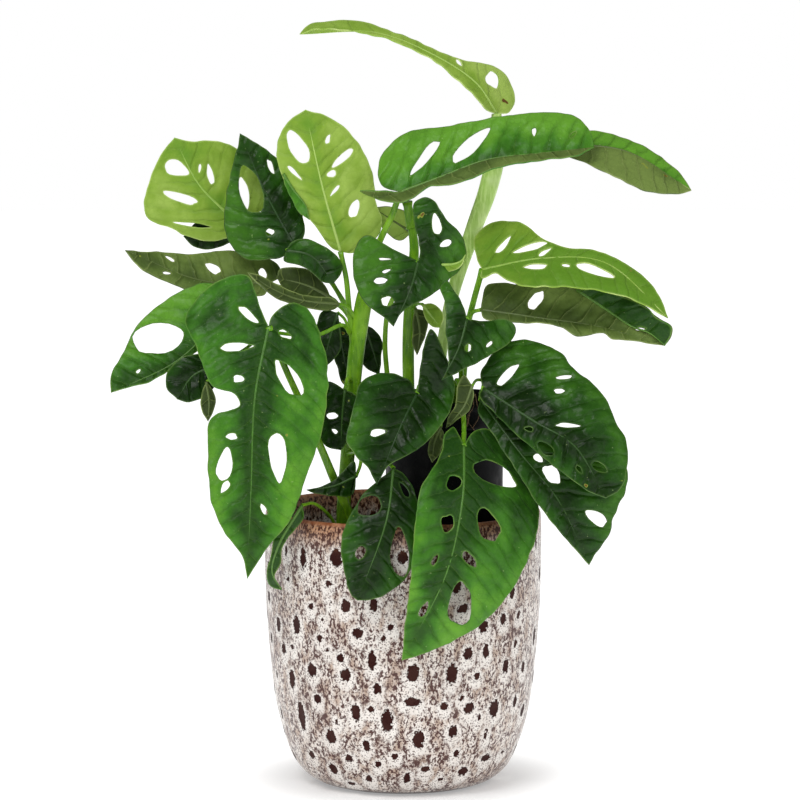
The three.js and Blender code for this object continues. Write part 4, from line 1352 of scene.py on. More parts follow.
class Finishes:
    """Every material of the plant and its pots, made once."""

    def __init__(self) -> None:
        """Makes the shared materials."""
        self.faces = {
            tone: self.leaf_side(f"{tone.value}_leaf_skin", c, tone is Tone.OLIVE)
            for tone, c in LEAF_COLOURS.items()
        }
        self.margins = {tone: self.leaf_margin(tone.value, c) for tone, c in LEAF_COLOURS.items()}
        self.ribs = {tone: self.leaf_rib(tone.value, c) for tone, c in LEAF_COLOURS.items()}
        self.glaze = self.reactive_glaze()
        self.plastic = self.black_plastic()
        self.soil = self.potting_soil()
        self.root = self.root_bark()
        self.skins = {
            Skin.PALE: self.petiole_skin("pale_petiole_skin", "C4E488", "A0C85C", "DDF0B0"),
            Skin.FRESH: self.petiole_skin("fresh_petiole_skin", "72A812", "548A0E", "98CC34"),
            Skin.BARK: self.root,
        }

    def blade(self, leaf: Leaf) -> list[bpy.types.Material]:
        """Returns a blade's materials: each half's near and far side, then its margin and midrib."""
        halves = (leaf.left, leaf.right or leaf.left)
        sides = [self.skins_of(half.tone or leaf.tone) for half in halves]
        return [*sides[0], *sides[1], self.margins[leaf.tone], self.ribs[leaf.tone]]

    def skins_of(self, tone: Tone) -> tuple[bpy.types.Material, bpy.types.Material]:
        """Returns the near and far side of a sheet that shows this tone to the viewer."""
        if tone is Tone.OLIVE:
            return self.faces[tone], self.faces[Tone.DARK]
        return self.faces[tone], self.faces[Tone.OLIVE]

    def leaf_side(self, name: str, c: LeafColours, underside: bool) -> bpy.types.Material:
        """Waxy leaf skin: sunken side veins, puffs between them and a soft sheen. Shade is painted into the
        vein grooves, the creases of the quilting and the groove along the midrib, light onto the puff tops,
        and each blade's lightness from base to tip is partly painted shade.

        It lets a little light through. Skin cells are far finer than its grain, which is as coarse as it
        needs to be to show.

        Args:
            name: The material's name.
            c: The colours.
            underside: True where the veins stand out instead of lying sunken.

        Returns:
            The material.
        """
        s = Shader(name)
        along, out = s.uv("blade")
        order, reach = s.uv("veins")
        inset, shade = s.value("inset"), s.value("shade")
        puff = s.value("puff")
        wander = s.math("MULTIPLY", s.math("SUBTRACT", s.noise(23.81, 3), 0.5), 1.3)
        shifted = s.math("ADD", order, wander)
        gap = s.math("ABSOLUTE", s.math("SUBTRACT", s.math("FRACT", s.math("ADD", shifted, 0.5)), 0.5))
        fade = s.span(reach, 4, 30, 1.0, 0.4)
        vein = s.math("MULTIPLY", s.span(gap, 0.0, 0.06 if underside else 0.04, 1.0, 0.0), fade)
        valley = s.math("MULTIPLY", s.span(gap, 0.0, 0.22, 1.0, 0.0), fade)
        flat = s.add("ShaderNodeCombineXYZ", {0: along, 1: out, 2: 0.0}).outputs[0]
        net = s.add("ShaderNodeTexVoronoi", {"Vector": flat, "Scale": 1 / 3.846, "Randomness": 0.85},
                    feature="DISTANCE_TO_EDGE", voronoi_dimensions="2D").outputs["Distance"]
        blotch = s.noise(7.692, 3, 0.5)
        threads = s.math("MULTIPLY", s.span(net, 0.0, 0.10, 1.0, 0.0), s.span(blotch, 0.35, 0.6))
        cloud = s.noise(29.41, 4, 0.55)
        grain = s.noise(1.4286, 3, 0.6)
        near_rib = s.span(s.math("ABSOLUTE", out), 0.0, 7.0, 1.0, 0.0)
        weight = s.math("ADD", s.math("MULTIPLY", cloud, 0.62), s.math("MULTIPLY", blotch, 0.14))
        weight = s.math("ADD", weight, 0.09)
        # The blade's shade: partly its own lightness, partly painted shade where it lies in shadow and
        # painted light where it is lit.
        weight = s.math("ADD", weight, s.math("MULTIPLY", shade, 0.30))
        weight = s.math("ADD", weight, s.span(inset, 0.0, 15.0, 0.16, 0.0))
        # Painted shade in the groove along the midrib, fading to a little lighter towards the edges, deeper
        # on leaves of more relief.
        rib_groove_shade = s.span(s.math("ABSOLUTE", out), 0.0, 28.0, 0.25 - 0.4 * c.relief, 0.08)
        weight = s.math("ADD", weight, rib_groove_shade)
        # Painted shade in the creases of the quilting and painted light on its tops.
        weight = s.math("ADD", weight, s.span(puff, 0.0, 0.75, -0.05, 0.04))
        tone = s.mix(s.span(weight, 0.30, 0.64), tint(c.deep), tint(c.body))
        tone = s.mix(s.math("MULTIPLY", s.span(weight, 0.54, 0.86), 0.9), tone, tint(c.light))
        # Painted shade in the sunken vein grooves of the upper side; none on the underside.
        sunken = 0.0 if underside else 0.22 * c.relief - 0.1
        tone = s.mix(s.math("MULTIPLY", valley, sunken), tone, tint(c.deep))
        tone = s.mix(s.math("MULTIPLY", near_rib, 0.06), tone, tint(c.light))
        tone = s.mix(s.math("MULTIPLY", threads, 0.22), tone, tint(c.deep))
        tone = s.mix(s.math("MULTIPLY", vein, 0.5 if underside else 0.10), tone, tint(c.vein))
        tone = s.mix(s.math("MULTIPLY", s.span(grain, 0.3, 0.75), 0.07), tone, tint(c.light))
        tone = s.mix(s.span(inset, 0.2, 1.5, 0.22, 0.0), tone, tint(c.margin))
        speck = s.span(s.noise(1.9231, 1), 0.75, 0.79)
        tone = s.mix(s.math("MULTIPLY", speck, 0.4), tone, tint(SPECK))
        scar = s.noise(11.364, 2, 0.4)
        tone = s.mix(s.span(scar, 0.745, 0.765), tone, tint(SCAR_RING))
        tone = s.mix(s.span(scar, 0.765, 0.78), tone, tint(SCAR))
        sign = 1.0 if underside else -1.0
        relief = s.math("MULTIPLY", valley, sign * 0.6)
        relief = s.math("ADD", relief, s.math("MULTIPLY", vein, sign * 0.2))
        relief = s.math("ADD", relief, s.math("MULTIPLY", blotch, 0.55))
        relief = s.math("ADD", relief, s.math("MULTIPLY", s.noise(16.13, 2, 0.4), 3.4))
        relief = s.math("ADD", relief, s.math("MULTIPLY", grain, 0.03))
        normal = s.bump(relief, 0.0011 * c.relief, 1.0)
        rough = s.span(blotch, 0.3, 0.7, c.rough, c.rough + 0.08)
        skin = s.principled(Base_Color=tone, Roughness=rough, Normal=normal, Specular_IOR_Level=0.2)
        glow = {"Color": s.mix(0.5, tone, tint(c.light)), "Normal": normal}
        through = s.add("ShaderNodeBsdfTranslucent", glow).outputs[0]
        both = s.add("ShaderNodeMixShader", {0: c.glow, 1: skin, 2: through}).outputs[0]
        return s.finish(both)

    def leaf_margin(self, key: str, c: LeafColours) -> bpy.types.Material:
        """Thin pale cut margin, the clear line that runs round each blade and each hole."""
        s = Shader(key + "_leaf_margin")
        cloud = s.noise(14.286, 3)
        tone = s.mix(s.span(cloud, 0.35, 0.7), tint(c.body), tint(c.margin))
        return s.finish(s.principled(Base_Color=tone, Roughness=0.45))

    def leaf_rib(self, key: str, c: LeafColours) -> bpy.types.Material:
        """Smooth midrib, paler than the blade, with fine lengthwise streaks."""
        s = Shader(key + "_leaf_midrib")
        streak = s.noise(3.125, 3, 0.6)
        plain = s.mix(s.span(streak, 0.25, 0.75, 0.2, 0.9), tint(c.deep), tint(c.body))
        tone = s.mix(s.value("rib"), plain, tint(c.vein))
        return s.finish(s.principled(Base_Color=tone, Roughness=0.4, Normal=s.bump(streak, 0.0002)))

    def petiole_skin(self, name: str, body: str, deep: str, light: str) -> bpy.types.Material:
        """Smooth green stalk: lengthwise streaks, fine pale flecks and a wet sheen."""
        s = Shader(name)
        stretched = s.vector("MULTIPLY", s.place, (1.0, 1.0, 0.16))
        streak = s.noise(1.9231, 4, 0.6, at=stretched)
        cloud = s.noise(22.22, 3)
        fleck = s.noise(0.6667, 2)
        tone = s.mix(s.span(streak, 0.35, 0.68), tint(deep), tint(body))
        tone = s.mix(s.math("MULTIPLY", s.span(cloud, 0.45, 0.7), 0.55), tone, tint(light))
        tone = s.mix(s.math("MULTIPLY", s.span(fleck, 0.66, 0.74), 0.5), tone, tint("D3DDA0"))
        normal = s.bump(streak, 0.0003)
        return s.finish(s.principled(
            Base_Color=tone, Roughness=0.36, Normal=normal, Specular_IOR_Level=0.3,
            Coat_Weight=0.12, Coat_Roughness=0.15))

    def black_plastic(self) -> bpy.types.Material:
        """Injection-moulded black polypropylene: blue-black where it catches light, dusty and scuffed.

        Real scuffs are finer than these, which are as coarse as they need to be to show.
        """
        s = Shader("black_nursery_plastic")
        dust = s.noise(16.667, 5, 0.6)
        scuff = s.noise(1.1111, 2)
        tone = s.mix(s.span(dust, 0.4, 0.75), tint("040506"), tint("0D0F13"))
        tone = s.mix(s.math("MULTIPLY", s.span(scuff, 0.68, 0.76), 0.35), tone, tint("5A5048"))
        rough = s.span(dust, 0.3, 0.7, 0.32, 0.6)
        return s.finish(s.principled(
            Base_Color=tone, Roughness=rough, Specular_IOR_Level=0.1, Normal=s.bump(scuff, 0.0001)))

    def potting_soil(self) -> bpy.types.Material:
        """Damp potting mix of bark and fibre, dark brown with lighter crumbs."""
        s = Shader("potting_soil")
        cells = {"Vector": s.place, "Scale": 1 / (2.941 * MM)}
        crumb = s.add("ShaderNodeTexVoronoi", cells).outputs["Distance"]
        cloud = s.noise(8.3333, 5, 0.65)
        tone = s.mix(s.span(crumb, 0.1, 0.6), tint("4A3524"), tint("1C130D"))
        tone = s.mix(s.math("MULTIPLY", s.span(cloud, 0.55, 0.72), 0.6), tone, tint("7B5C3E"))
        return s.finish(s.principled(Base_Color=tone, Roughness=0.9, Normal=s.bump(crumb, 0.002)))

    def root_bark(self) -> bpy.types.Material:
        """Dry fibrous root bark, grey-brown with paler ridges."""
        s = Shader("root_bark")
        fibre = s.noise(1.4286, 4, 0.7)
        tone = s.mix(s.span(fibre, 0.35, 0.7), tint("3B2A1E"), tint("8A6E52"))
        return s.finish(s.principled(Base_Color=tone, Roughness=0.85, Normal=s.bump(fibre, 0.0006)))

    def reactive_glaze(self) -> bpy.types.Material:
        """Cream reactive glaze on brown clay: bare dark spots, white runs round them, fine dark crawl."""
        s = Shader("cream_reactive_glaze")
        height = s.add("ShaderNodeSeparateXYZ", {0: s.place}).outputs[2]
        torn = s.math("SUBTRACT", s.noise(2.5, 3, 0.65), 0.5)
        spot = s.math("ADD", s.value("spot"), s.math("MULTIPLY", torn, 1.7))
        halo = s.math("ADD", s.value("halo"), s.math("MULTIPLY", torn, 1.1))
        bare = s.span(spot, 1.06, 1.18, 1.0, 0.0)
        run = s.span(halo, 0.8, 1.25, 1.0, 0.0)
        streaked = s.vector("MULTIPLY", s.place, (1.0, 1.0, 0.45))
        cloud = s.noise(21.74, 5, 0.6, at=streaked)
        stain = s.noise(6.6667, 4, 0.62, at=streaked)
        crawl = s.noise(1.9231, 3, 0.6, at=s.vector("MULTIPLY", s.place, (1.0, 1.0, 0.62)))
        speck = s.noise(1.1111, 2, 0.5)
        tone = s.mix(s.span(stain, 0.42, 0.66), tint("E6DDD5"), tint("B7A08F"))
        tone = s.mix(s.math("MULTIPLY", s.span(cloud, 0.48, 0.68), 0.5), tone, tint("93715F"))
        dense = s.span(cloud, 0.3, 0.7, 0.545, 0.48)
        ink = s.span(s.math("SUBTRACT", crawl, dense), 0.0, 0.03)
        dots = s.math("MULTIPLY", s.span(speck, 0.57, 0.62), 0.9)
        ink = s.math("MAXIMUM", s.math("MULTIPLY", ink, s.math("SUBTRACT", 1.0, run)), dots)
        tone = s.mix(s.math("MULTIPLY", run, 0.75), tone, tint("EDE8E2"))
        tone = s.mix(ink, tone, tint("45190D"))
        clay = s.mix(s.span(s.noise(11.111, 3), 0.4, 0.62), tint("300C06"), tint("3A1C16"))
        tone = s.mix(bare, tone, clay)
        lip = s.span(height, 0.1965, 0.1990)
        band = s.span(s.math("ADD", height, s.math("MULTIPLY", s.math("SUBTRACT", crawl, 0.5), 0.03)),
                      0.176, 0.192)
        rust = s.mix(s.span(crawl, 0.42, 0.56), tint("B98660"), tint("4A1F0C"))
        tone = s.mix(s.math("MULTIPLY", band, 0.9), tone, rust)
        honey = s.mix(s.span(stain, 0.35, 0.65), tint("8A4A26"), tint("B9805A"))
        tone = s.mix(lip, tone, honey)
        foot = s.span(height, 0.0015, 0.004, 1.0, 0.0)
        tone = s.mix(foot, tone, tint("3A2219"))
        relief = s.math("ADD", s.math("MULTIPLY", run, 0.35), s.math("MULTIPLY", bare, -1.0))
        relief = s.math("ADD", relief, s.math("MULTIPLY", ink, -0.25))
        relief = s.math("ADD", relief, s.math("MULTIPLY", cloud, 0.5))
        normal = s.bump(relief, 0.0007)
        rough = s.math("ADD", s.span(cloud, 0.3, 0.7, 0.30, 0.42), s.math("MULTIPLY", bare, 0.12))
        return s.finish(s.principled(
            Base_Color=tone, Roughness=rough, Normal=normal, Coat_Roughness=0.12,
            Coat_Weight=s.span(bare, 0.0, 1.0, 0.3, 0.0),
            Specular_IOR_Level=s.span(bare, 0.0, 1.0, 0.45, 0.12)))


# Material numbers of a blade, after the near and far side of its two halves.
MARGIN, RIB = 4, 5


class LeafMaker:
    """Makes blades as Blender objects."""

    def __init__(self, sight: Sight, sizes: BladeSizes, finishes: Finishes) -> None:
        """Keeps what every blade shares.

        Args:
            sight: The line of sight that the blades are laid out along.
            sizes: The fineness and surface of a blade.
            finishes: The materials.
        """
        self.sight, self.sizes, self.finishes = sight, sizes, finishes

    def make(self, leaf: Leaf) -> bpy.types.Object:
        """Makes a blade that stands for its CAD node.

        Args:
            leaf: The blade's measurements.

        Returns:
            The blade.
        """
        bm = bmesh.new()
        layers = (bm.loops.layers.uv.new("blade"), bm.loops.layers.uv.new("veins"))
        inset = bm.verts.layers.float.new("inset")
        shade = bm.verts.layers.float.new("shade")
        rib = bm.verts.layers.float.new("rib")
        puff = bm.verts.layers.float.new("puff")
        for number, half in enumerate((leaf.left, leaf.right)):
            if half:
                sheet = HalfSheet(leaf, half, number * 2.0 - 1.0, self.sizes)
                self.add_half(bm, sheet, (*layers, inset, puff), number * 2)
        bmesh.ops.remove_doubles(bm, verts=bm.verts, dist=0.02 * MM)
        self.thicken(bm)
        self.add_rib(bm, leaf)
        first = self.sight.place(*leaf.midrib[0])
        run = self.sight.place(*leaf.midrib[-1]) - first
        # Each point carries the blade's shade from base to tip: its own lightness, with painted shade and
        # painted light for how the blade lies in the light.
        for vert in bm.verts:
            part = max(0.0, min(1.0, (vert.co - first).dot(run) / run.length_squared))
            vert[shade] = leaf.shade[0] + (leaf.shade[1] - leaf.shade[0]) * part
            vert[rib] = leaf.rib
        obj = new_object(leaf.name + "_blade", bm)
        for finish in self.finishes.blade(leaf):
            obj.data.materials.append(finish)
        return obj

    def thicken(self, bm: bmesh.types.BMesh) -> None:
        """Gives the sheet its pale margin, its thickness and its far side."""
        margin = bmesh.ops.inset_region(
            bm, faces=bm.faces, thickness=self.sizes.margin * MM, use_even_offset=False,
            use_boundary=True,
        )
        for face in margin["faces"]:
            face.material_index = MARGIN
        bm.normal_update()
        facing = bm.verts.layers.float_vector.new("facing")
        for vert in bm.verts:
            vert[facing] = vert.normal
        near = set(bm.faces)
        made = bmesh.ops.extrude_face_region(bm, geom=bm.faces[:], use_keep_orig=True)["geom"]
        far = {item for item in made if isinstance(item, bmesh.types.BMFace)}
        back = {item for item in made if isinstance(item, bmesh.types.BMVert)}
        for vert in bm.verts:
            side = -0.5 if vert in back else 0.5
            vert.co += vert[facing] * self.sizes.thickness * side * MM
        for face in bm.faces:
            face.smooth = True
            if face in far and face.material_index < MARGIN:
                face.material_index += 1
            elif face not in near and face not in far:
                face.material_index = MARGIN
        bmesh.ops.recalc_face_normals(bm, faces=bm.faces)
        bm.verts.layers.float_vector.remove(facing)

    def add_half(
        self, bm: bmesh.types.BMesh, sheet: HalfSheet, layers: Sequence[Any], material: int,
    ) -> None:
        """Adds one half's faces.

        Args:
            bm: The blade so far.
            sheet: The half.
            layers: The two maps, and the inset and puff layers.
            material: Material index of the viewer's side.
        """
        maps, orders, inset, puff = layers
        points, faces, insets = sheet.triangulated()
        verts = []
        for p, gap in zip(points, insets):
            depth, raised = sheet.surface(p.x, p.y, gap)
            vert = bm.verts.new(self.sight.place(p.x, p.y, depth))
            vert[inset], vert[puff] = gap, raised
            verts.append(vert)
        for face in faces:
            made = bm.faces.new([verts[k] for k in face])
            made.material_index = material
            for loop, k in zip(made.loops, face):
                along, out, _ = sheet.offset(points[k].x, points[k].y)
                loop[maps].uv = (along, out * sheet.side)
                loop[orders].uv = (sheet.veins.order(along, out), out)
        loose = [v for v in verts if not v.link_faces]
        bmesh.ops.delete(bm, geom=loose, context="VERTS")

    def add_rib(self, bm: bmesh.types.BMesh, leaf: Leaf) -> None:
        """Adds the midrib, a rib that thins towards the tip."""
        line = SmoothLine(leaf.midrib)
        sizes = self.sizes
        count = max(12, round(line.length() / sizes.rib_step))
        route = [self.sight.place(*p) for p in line.evenly(count)]
        widths = [(sizes.rib_radius - sizes.rib_taper * k / count) * MM for k in range(count + 1)]
        add_tube(bm, route, widths, sizes.rib_sides, RIB)


# ---- pots and soil ----------------------------------------------------------------------------
def turned(
    profile: Sequence[tuple[float, float]],
    around: int,
    step: float,
    centre: tuple[float, float, float],
    smooth: bool = True,
) -> bmesh.types.BMesh:
    """Spins a smooth profile round an upright axis.

    Args:
        profile: (radius, height) points from the axis out and back to it.
        around: Steps in the full turn.
        step: Longest piece of the profile in millimetres.
        centre: The axis's foot in millimetres.
        smooth: False to keep straight lines between the points.

    Returns:
        The turned mesh.
    """
    bm = bmesh.new()
    line = SmoothLine(profile).dense(step) if smooth else [Vector(p) for p in profile]
    verts = [bm.verts.new((max(p.x, 0.0) * MM, 0.0, p.y * MM)) for p in line]
    edges = [bm.edges.new(pair) for pair in zip(verts, verts[1:])]
    bmesh.ops.spin(
        bm, geom=verts + edges, cent=(0, 0, 0), axis=(0, 0, 1), angle=2 * math.pi, steps=around,
        use_merge=True,
    )
    bmesh.ops.remove_doubles(bm, verts=bm.verts, dist=0.01 * MM)
    bmesh.ops.recalc_face_normals(bm, faces=bm.faces)
    bmesh.ops.translate(bm, verts=bm.verts, vec=Vector(centre) * MM)
    for face in bm.faces:
        face.smooth = True
    return bm


class PotMaker:
    """Makes the glazed pot, the nursery pot and what fills them."""

    def __init__(self, pot: PotSizes, nursery: NurserySizes, finishes: Finishes) -> None:
        """Keeps the sizes and materials."""
        self.pot, self.nursery, self.finishes = pot, nursery, finishes

    def spots(self) -> list[tuple[float, float, float, float]]:
        """Returns every bare clay spot: the front's, then scattered ones all round the rest."""
        chance = random.Random(self.pot.spot_seed)
        found = list(SPOTS)
        for _ in range(self.pot.spot_tries):
            angle, height = chance.uniform(-180, 180), chance.uniform(*self.pot.spot_heights)
            if abs(angle) < self.pot.front_arc:
                continue
            near = min(
                math.hypot((angle - a + 180) % 360 - 180, (height - h) * 0.8) for a, h, *_ in found)
            if near > self.pot.spot_gap:
                found.append((angle, height, chance.uniform(2, 4), chance.uniform(2.5, 7.5)))
        return found

    def glazed_pot(self) -> bpy.types.Object:
        """Makes the glazed pot, with each point's nearness to a bare spot kept on the mesh."""
        pot = self.pot
        bm = turned(pot.wall, pot.around, pot.step, (0, 0, 0))
        spot = bm.verts.layers.float.new("spot")
        halo = bm.verts.layers.float.new("halo")
        spots = self.spots()
        for vert in bm.verts:
            x, y, z = vert.co / MM
            radius = math.hypot(x, y)
            turn = math.degrees(math.atan2(x, -y))
            best = best_halo = 9.0
            for angle, height, wide, tall in spots:
                up = z - height
                if abs(up) > pot.spot_reach:
                    continue
                side = math.radians((turn - angle + 180) % 360 - 180) * radius
                best = min(best, math.hypot(side / wide, up / tall) * 1.12)
                ring = math.hypot(
                    side / (wide + pot.halo_side), (up + pot.halo_drop) / (tall + pot.halo_rise))
                best_halo = min(best_halo, ring)
            vert[spot], vert[halo] = best, best_halo
            if z > pot.foot:
                lump = noise.noise(vert.co * 42) + 0.4 * noise.noise(vert.co * 110)
                dent = max(0.0, 1.15 - best) * pot.spot_depth
                shift = (lump * pot.ripple - dent) * MM
                vert.co += Vector((x, y, 0)).normalized() * shift
        obj = new_object("glazed_pot", bm)
        obj.data.materials.append(self.finishes.glaze)
        return obj

    def nursery_pot(self) -> bpy.types.Object:
        """Makes the thin nursery pot with its rolled rim and stacking ledge."""
        n = self.nursery
        wide, low = n.rim, n.base
        profile = (
            (0, 0), (low - 3, 0), (low, 1.5), (low + 1.4, 30), (low + 3, n.height - 22),
            (low + 4.6, n.height - 20), (wide - 3, n.height - 7), (wide - 2.6, n.height - 6),
            (wide - 0.2, n.height - 5.6), (wide, n.height - 4), (wide - 0.4, n.height - 0.6),
            (wide - 1.6, n.height), (wide - 3, n.height - 0.6), (wide - 4.4, n.height - 6),
            (low + 3, n.height - 22), (low + 1.4, n.height - 24), (low - 0.2, 30),
            (low - 2, n.wall + 1), (low - 4, n.wall), (0, n.wall),
        )
        bm = turned(profile, n.around, n.step, (n.x, n.y, n.foot))
        obj = new_object("black_nursery_pot", bm)
        obj.data.materials.append(self.finishes.plastic)
        return obj

    def bed(self, name: str, bed: Bed) -> bpy.types.Object:
        """Makes a bed of potting mix with a rough top.

        Args:
            name: The piece's name.
            bed: Its sizes.

        Returns:
            The bed.
        """
        rings = [(bed.radius * k / 24, bed.top) for k in range(24, -1, -1)]
        profile = [*bed.floor, *rings]
        bm = turned(profile, self.nursery.around, 6.0, (bed.x, bed.y, 0), smooth=False)
        for vert in bm.verts:
            if vert.co.z > (bed.top - 0.5) * MM:
                here = vert.co * 260
                lump = noise.noise(here) * 0.9 + noise.noise(here * 2.3) * 0.5
                vert.co.z += lump * bed.rough * MM
        obj = new_object(name, bm)
        obj.data.materials.append(self.finishes.soil)
        return obj

    def crumbs(self, name: str, bed: Bed) -> bpy.types.Object:
        """Scatters bark crumbs and short roots over a bed, but none under the nursery pot.

        Args:
            name: The piece's name.
            bed: The bed's sizes.

        Returns:
            The crumbs, in one piece.
        """
        chance = random.Random(bed.seed)
        bm = bmesh.new()
        top = bed.top + bed.lift
        for k in range(bed.crumbs):
            reach = bed.reach * math.sqrt(chance.random())
            turn = chance.uniform(0, 2 * math.pi)
            spot = Vector((bed.x + reach * math.cos(turn), bed.y + reach * math.sin(turn), top)) * MM
            stood_on = math.hypot(spot.x / MM - self.nursery.x, spot.y / MM - self.nursery.y)
            if top < self.nursery.foot + 1 and stood_on < self.nursery.base + 4:
                continue
            if k % bed.root_every == 0:
                self.add_root(bm, chance, spot)
            else:
                self.add_crumb(bm, chance, spot)
        obj = new_object(name, bm)
        obj.data.materials.append(self.finishes.soil)
        obj.data.materials.append(self.finishes.root)
        return obj

    def add_root(self, bm: bmesh.types.BMesh, chance: random.Random, spot: Vector) -> None:
        """Lays a short root, 12 mm long, that starts at a spot."""
        heading = Matrix.Rotation(chance.uniform(0, 6.28), 3, "Z") @ Vector((1, 0, 0.15))
        route = [
            spot + heading * s * MM + Vector((
                chance.uniform(-1, 1), chance.uniform(-1, 1), 1.2 * math.sin(s / 4))) * MM
            for s in (0, 3, 6, 9, 12)
        ]
        add_tube(bm, route, [0.45 * MM, 0.6 * MM, 0.5 * MM, 0.5 * MM, 0.2 * MM], 5, 1)

    def add_crumb(self, bm: bmesh.types.BMesh, chance: random.Random, spot: Vector) -> None:
        """Drops a rough lump of bark at a spot."""
        size = chance.uniform(0.8, 2.6) * MM
        made = bmesh.ops.create_icosphere(bm, subdivisions=1, radius=size)["verts"]
        stretch = Vector((
            chance.uniform(0.7, 1.6), chance.uniform(0.6, 1.1), chance.uniform(0.35, 0.7)))
        spin = Matrix.Rotation(chance.uniform(0, 6.28), 4, "Z")
        for vert in made:
            rough = 1 + 0.35 * noise.noise(vert.co * 900 + spot * 90)
            vert.co = spin @ Vector(a * b * rough for a, b in zip(vert.co, stretch))
        bmesh.ops.translate(bm, verts=made, vec=spot)


# ---- stems ------------------------------------------------------------------------------------
class StemMaker:
    """Makes the stalks that carry the blades."""

    def __init__(self, sight: Sight, sizes: StalkSizes, finishes: Finishes) -> None:
        """Keeps the line of sight, the sizes and the materials."""
        self.sight, self.sizes, self.finishes = sight, sizes, finishes
        self.bases = {leaf.name: leaf.midrib[0] for leaf in LEAVES}

    def make(self, stem: Stem) -> bpy.types.Object:
        """Makes one stem with all its petioles, which swell at both ends and carry a channel.

        Args:
            stem: The stem's rods.

        Returns:
            The stem.
        """
        bm = bmesh.new()
        bm.loops.layers.uv.new("stalk")
        for rod in stem.rods:
            stops = [self.bases[stop] if isinstance(stop, str) else stop for stop in rod.route]
            line = SmoothLine([self.sight.place(*stop) / MM for stop in stops])
            girth = SmoothLine([(share, 0.0) for share in rod.girth])
            count = max(8, round(line.length() / self.sizes.step))
            route = [p * MM for p in line.evenly(count)]
            parts = [k / count for k in range(count + 1)]
            widths = [rod.radius * (girth.at(part)[0] + self.swell(part)) * MM for part in parts]
            add_tube(bm, route, widths, self.sizes.sides, groove=self.sizes.groove)
        obj = new_object(stem.name + "_stalks", bm)
        obj.data.materials.append(self.finishes.skins[stem.skin])
        return obj

    def swell(self, part: float) -> float:
        """Returns the extra girth at a share of a stalk's length, as a share of its radius."""
        (base, near), (tip, far) = self.sizes.base_swell, self.sizes.tip_swell
        return base * math.exp(-((part / near) ** 2)) + tip * math.exp(-(((1 - part) / far) ** 2))


# ---- camera, light and floor ------------------------------------------------------------------
@dataclass(frozen=True)
class Lamp:
    """A square soft lamp: its place and size in metres, and its power in watts."""

    name: str
    place: tuple[float, float, float]
    size: float
    power: float


@dataclass(frozen=True)
class Room:
    """How bright the white room is to the lens, in soft light and in reflections, and its lamps."""

    seen: float = 1.0
    soft: float = 0.5
    mirrored: float = 0.16
    lamps: tuple[Lamp, ...] = (
        Lamp("key", (-0.7, -1.5, 2.1), 1.1, 24),
        Lamp("fill", (1.6, -1.4, 1.2), 1.4, 7),
    )
    aim: tuple[float, float, float] = (0, 0, 0.3)
    floor: float = 6.0


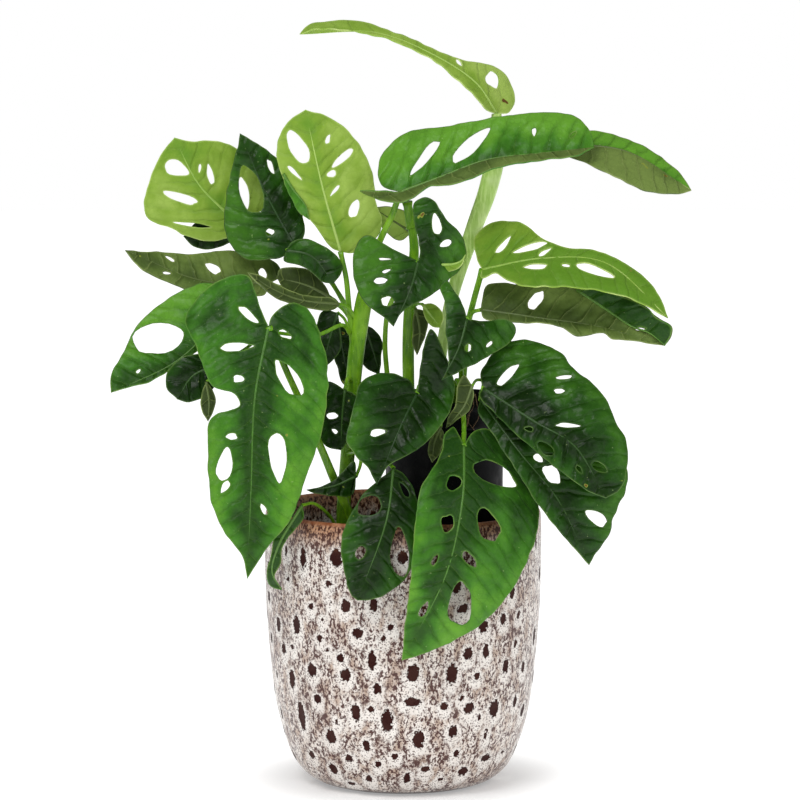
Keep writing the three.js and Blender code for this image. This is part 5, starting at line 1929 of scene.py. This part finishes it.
class Studio:
    """The camera, the soft light and the white floor."""

    def __init__(self, sight: Sight, room: Room) -> None:
        """Keeps where the camera stands and how bright the room is."""
        self.sight, self.room = sight, room

    def camera(self) -> None:
        """Stands the camera at the eye that the foliage is laid out for."""
        data = bpy.data.cameras.new("camera")
        data.lens = self.sight.lens
        data.sensor_width = 36.0
        data.clip_end = 50.0
        camera = bpy.data.objects.new("camera", data)
        camera.location = Vector((self.sight.x, -self.sight.distance, self.sight.height)) * MM
        camera.rotation_euler = (math.radians(90 - self.sight.dip), 0, 0)
        bpy.context.scene.collection.objects.link(camera)
        bpy.context.scene.camera = camera

    def hang(self, lamp: Lamp) -> None:
        """Hangs a lamp that looks at the middle of the plant."""
        data = bpy.data.lights.new(lamp.name, "AREA")
        data.size, data.energy = lamp.size, lamp.power
        obj = bpy.data.objects.new(lamp.name, data)
        obj.location = lamp.place
        way = Vector(self.room.aim) - obj.location
        obj.rotation_euler = way.to_track_quat("-Z", "Y").to_euler()
        bpy.context.scene.collection.objects.link(obj)

    def light(self) -> None:
        """Lights the plant from a bright white room, brightest from above and the left."""
        world = bpy.data.worlds.new("white_room")
        world.use_nodes = True
        tree = world.node_tree
        ray = tree.nodes.new("ShaderNodeLightPath")
        soft = self.level(tree, ray.outputs["Is Glossy Ray"], self.room.soft, self.room.mirrored)
        seen = self.level(tree, ray.outputs["Is Camera Ray"], soft, self.room.seen)
        tree.links.new(seen, tree.nodes["Background"].inputs["Strength"])
        tree.nodes["Background"].inputs["Color"].default_value = (1, 1, 1, 1)
        bpy.context.scene.world = world
        for lamp in self.room.lamps:
            self.hang(lamp)
        bpy.context.scene.view_settings.view_transform = "Standard"

    def level(self, tree: Any, switch: Any, off: Any, on: float) -> Any:
        """Returns a strength that is off or on as its switch says.

        Args:
            tree: The world's nodes.
            switch: A socket that is 0 or 1.
            off: The strength at 0, a number or a socket.
            on: The strength at 1.

        Returns:
            The strength's socket.
        """
        node = tree.nodes.new("ShaderNodeMapRange")
        if isinstance(off, float):
            node.inputs["To Min"].default_value = off
        else:
            tree.links.new(off, node.inputs["To Min"])
        node.inputs["To Max"].default_value = on
        tree.links.new(switch, node.inputs["Value"])
        return node.outputs[0]

    def floor(self) -> None:
        """Lays the white floor, which isn't part of the plant. It glows, least near the pot, which paints a
        soft shadow round the pot's foot.
        """
        bm = bmesh.new()
        bmesh.ops.create_grid(bm, x_segments=1, y_segments=1, size=self.room.floor)
        obj = new_object("floor", bm)
        s = Shader("white_floor_painted_shadow")
        away = s.add("ShaderNodeVectorMath", {0: s.place}, operation="LENGTH").outputs["Value"]
        surface = s.principled(
            Base_Color=tint("DCDCDC"), Roughness=0.9, Emission_Color=(1, 1, 1, 1),
            # Weaker glow within about 15 cm of the pot: a painted shadow round its foot.
            Emission_Strength=s.span(away, 0.07, 0.15, 0.32, 0.80),
        )
        obj.data.materials.append(s.finish(surface))


# ---- the whole plant --------------------------------------------------------------------------
def place(obj: bpy.types.Object, slot: str, *nodes: str) -> bpy.types.Object:
    """Hangs a piece on the plant in place of its CAD nodes.

    Args:
        obj: The piece.
        slot: The record's slot for its finish, which is only logged.
        nodes: The CAD nodes that it stands for.

    Returns:
        The piece.
    """
    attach(obj, "root")
    if nodes:
        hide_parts(*nodes)
    LOG.info("%s: %d faces, %s", obj.name, len(obj.data.polygons), slot)
    return obj


def main() -> None:
    """Builds the plant, its pots and the studio."""
    logging.basicConfig(level=logging.INFO, format="%(message)s")
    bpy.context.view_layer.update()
    sight = Sight()
    finishes = Finishes()
    blades = LeafMaker(sight, BladeSizes(), finishes)
    pieces = [place(blades.make(leaf), "leaf_" + leaf.tone.value, leaf.name) for leaf in LEAVES]
    pieces += [place(blades.make(curl), "leaf_" + curl.tone.value) for curl in CURLS]
    stems = StemMaker(sight, StalkSizes(), finishes)
    pieces.append(place(stems.make(ROOTS), "soil"))
    pieces += [place(stems.make(stem), "stem", stem.name) for stem in STEMS]
    pots = PotMaker(PotSizes(), NURSERY, finishes)
    pieces += [
        place(pots.glazed_pot(), "glaze", "cover_pot"),
        place(pots.nursery_pot(), "black_plastic", "nursery_pot"),
        place(pots.bed("potting_mix_bed", MIX_BED), "soil", "potting_mix"),
        place(pots.bed("nursery_soil_bed", SOIL_BED), "soil", "nursery_soil"),
        place(pots.crumbs("soil_crumbs", SOIL_BED), "soil"),
        place(pots.crumbs("mix_crumbs", MIX_BED), "soil"),
    ]
    studio = Studio(sight, Room())
    studio.camera()
    studio.light()
    studio.floor()
    LOG.info("pieces: %d", len(pieces))


if __name__ == "__main__":
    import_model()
    main()
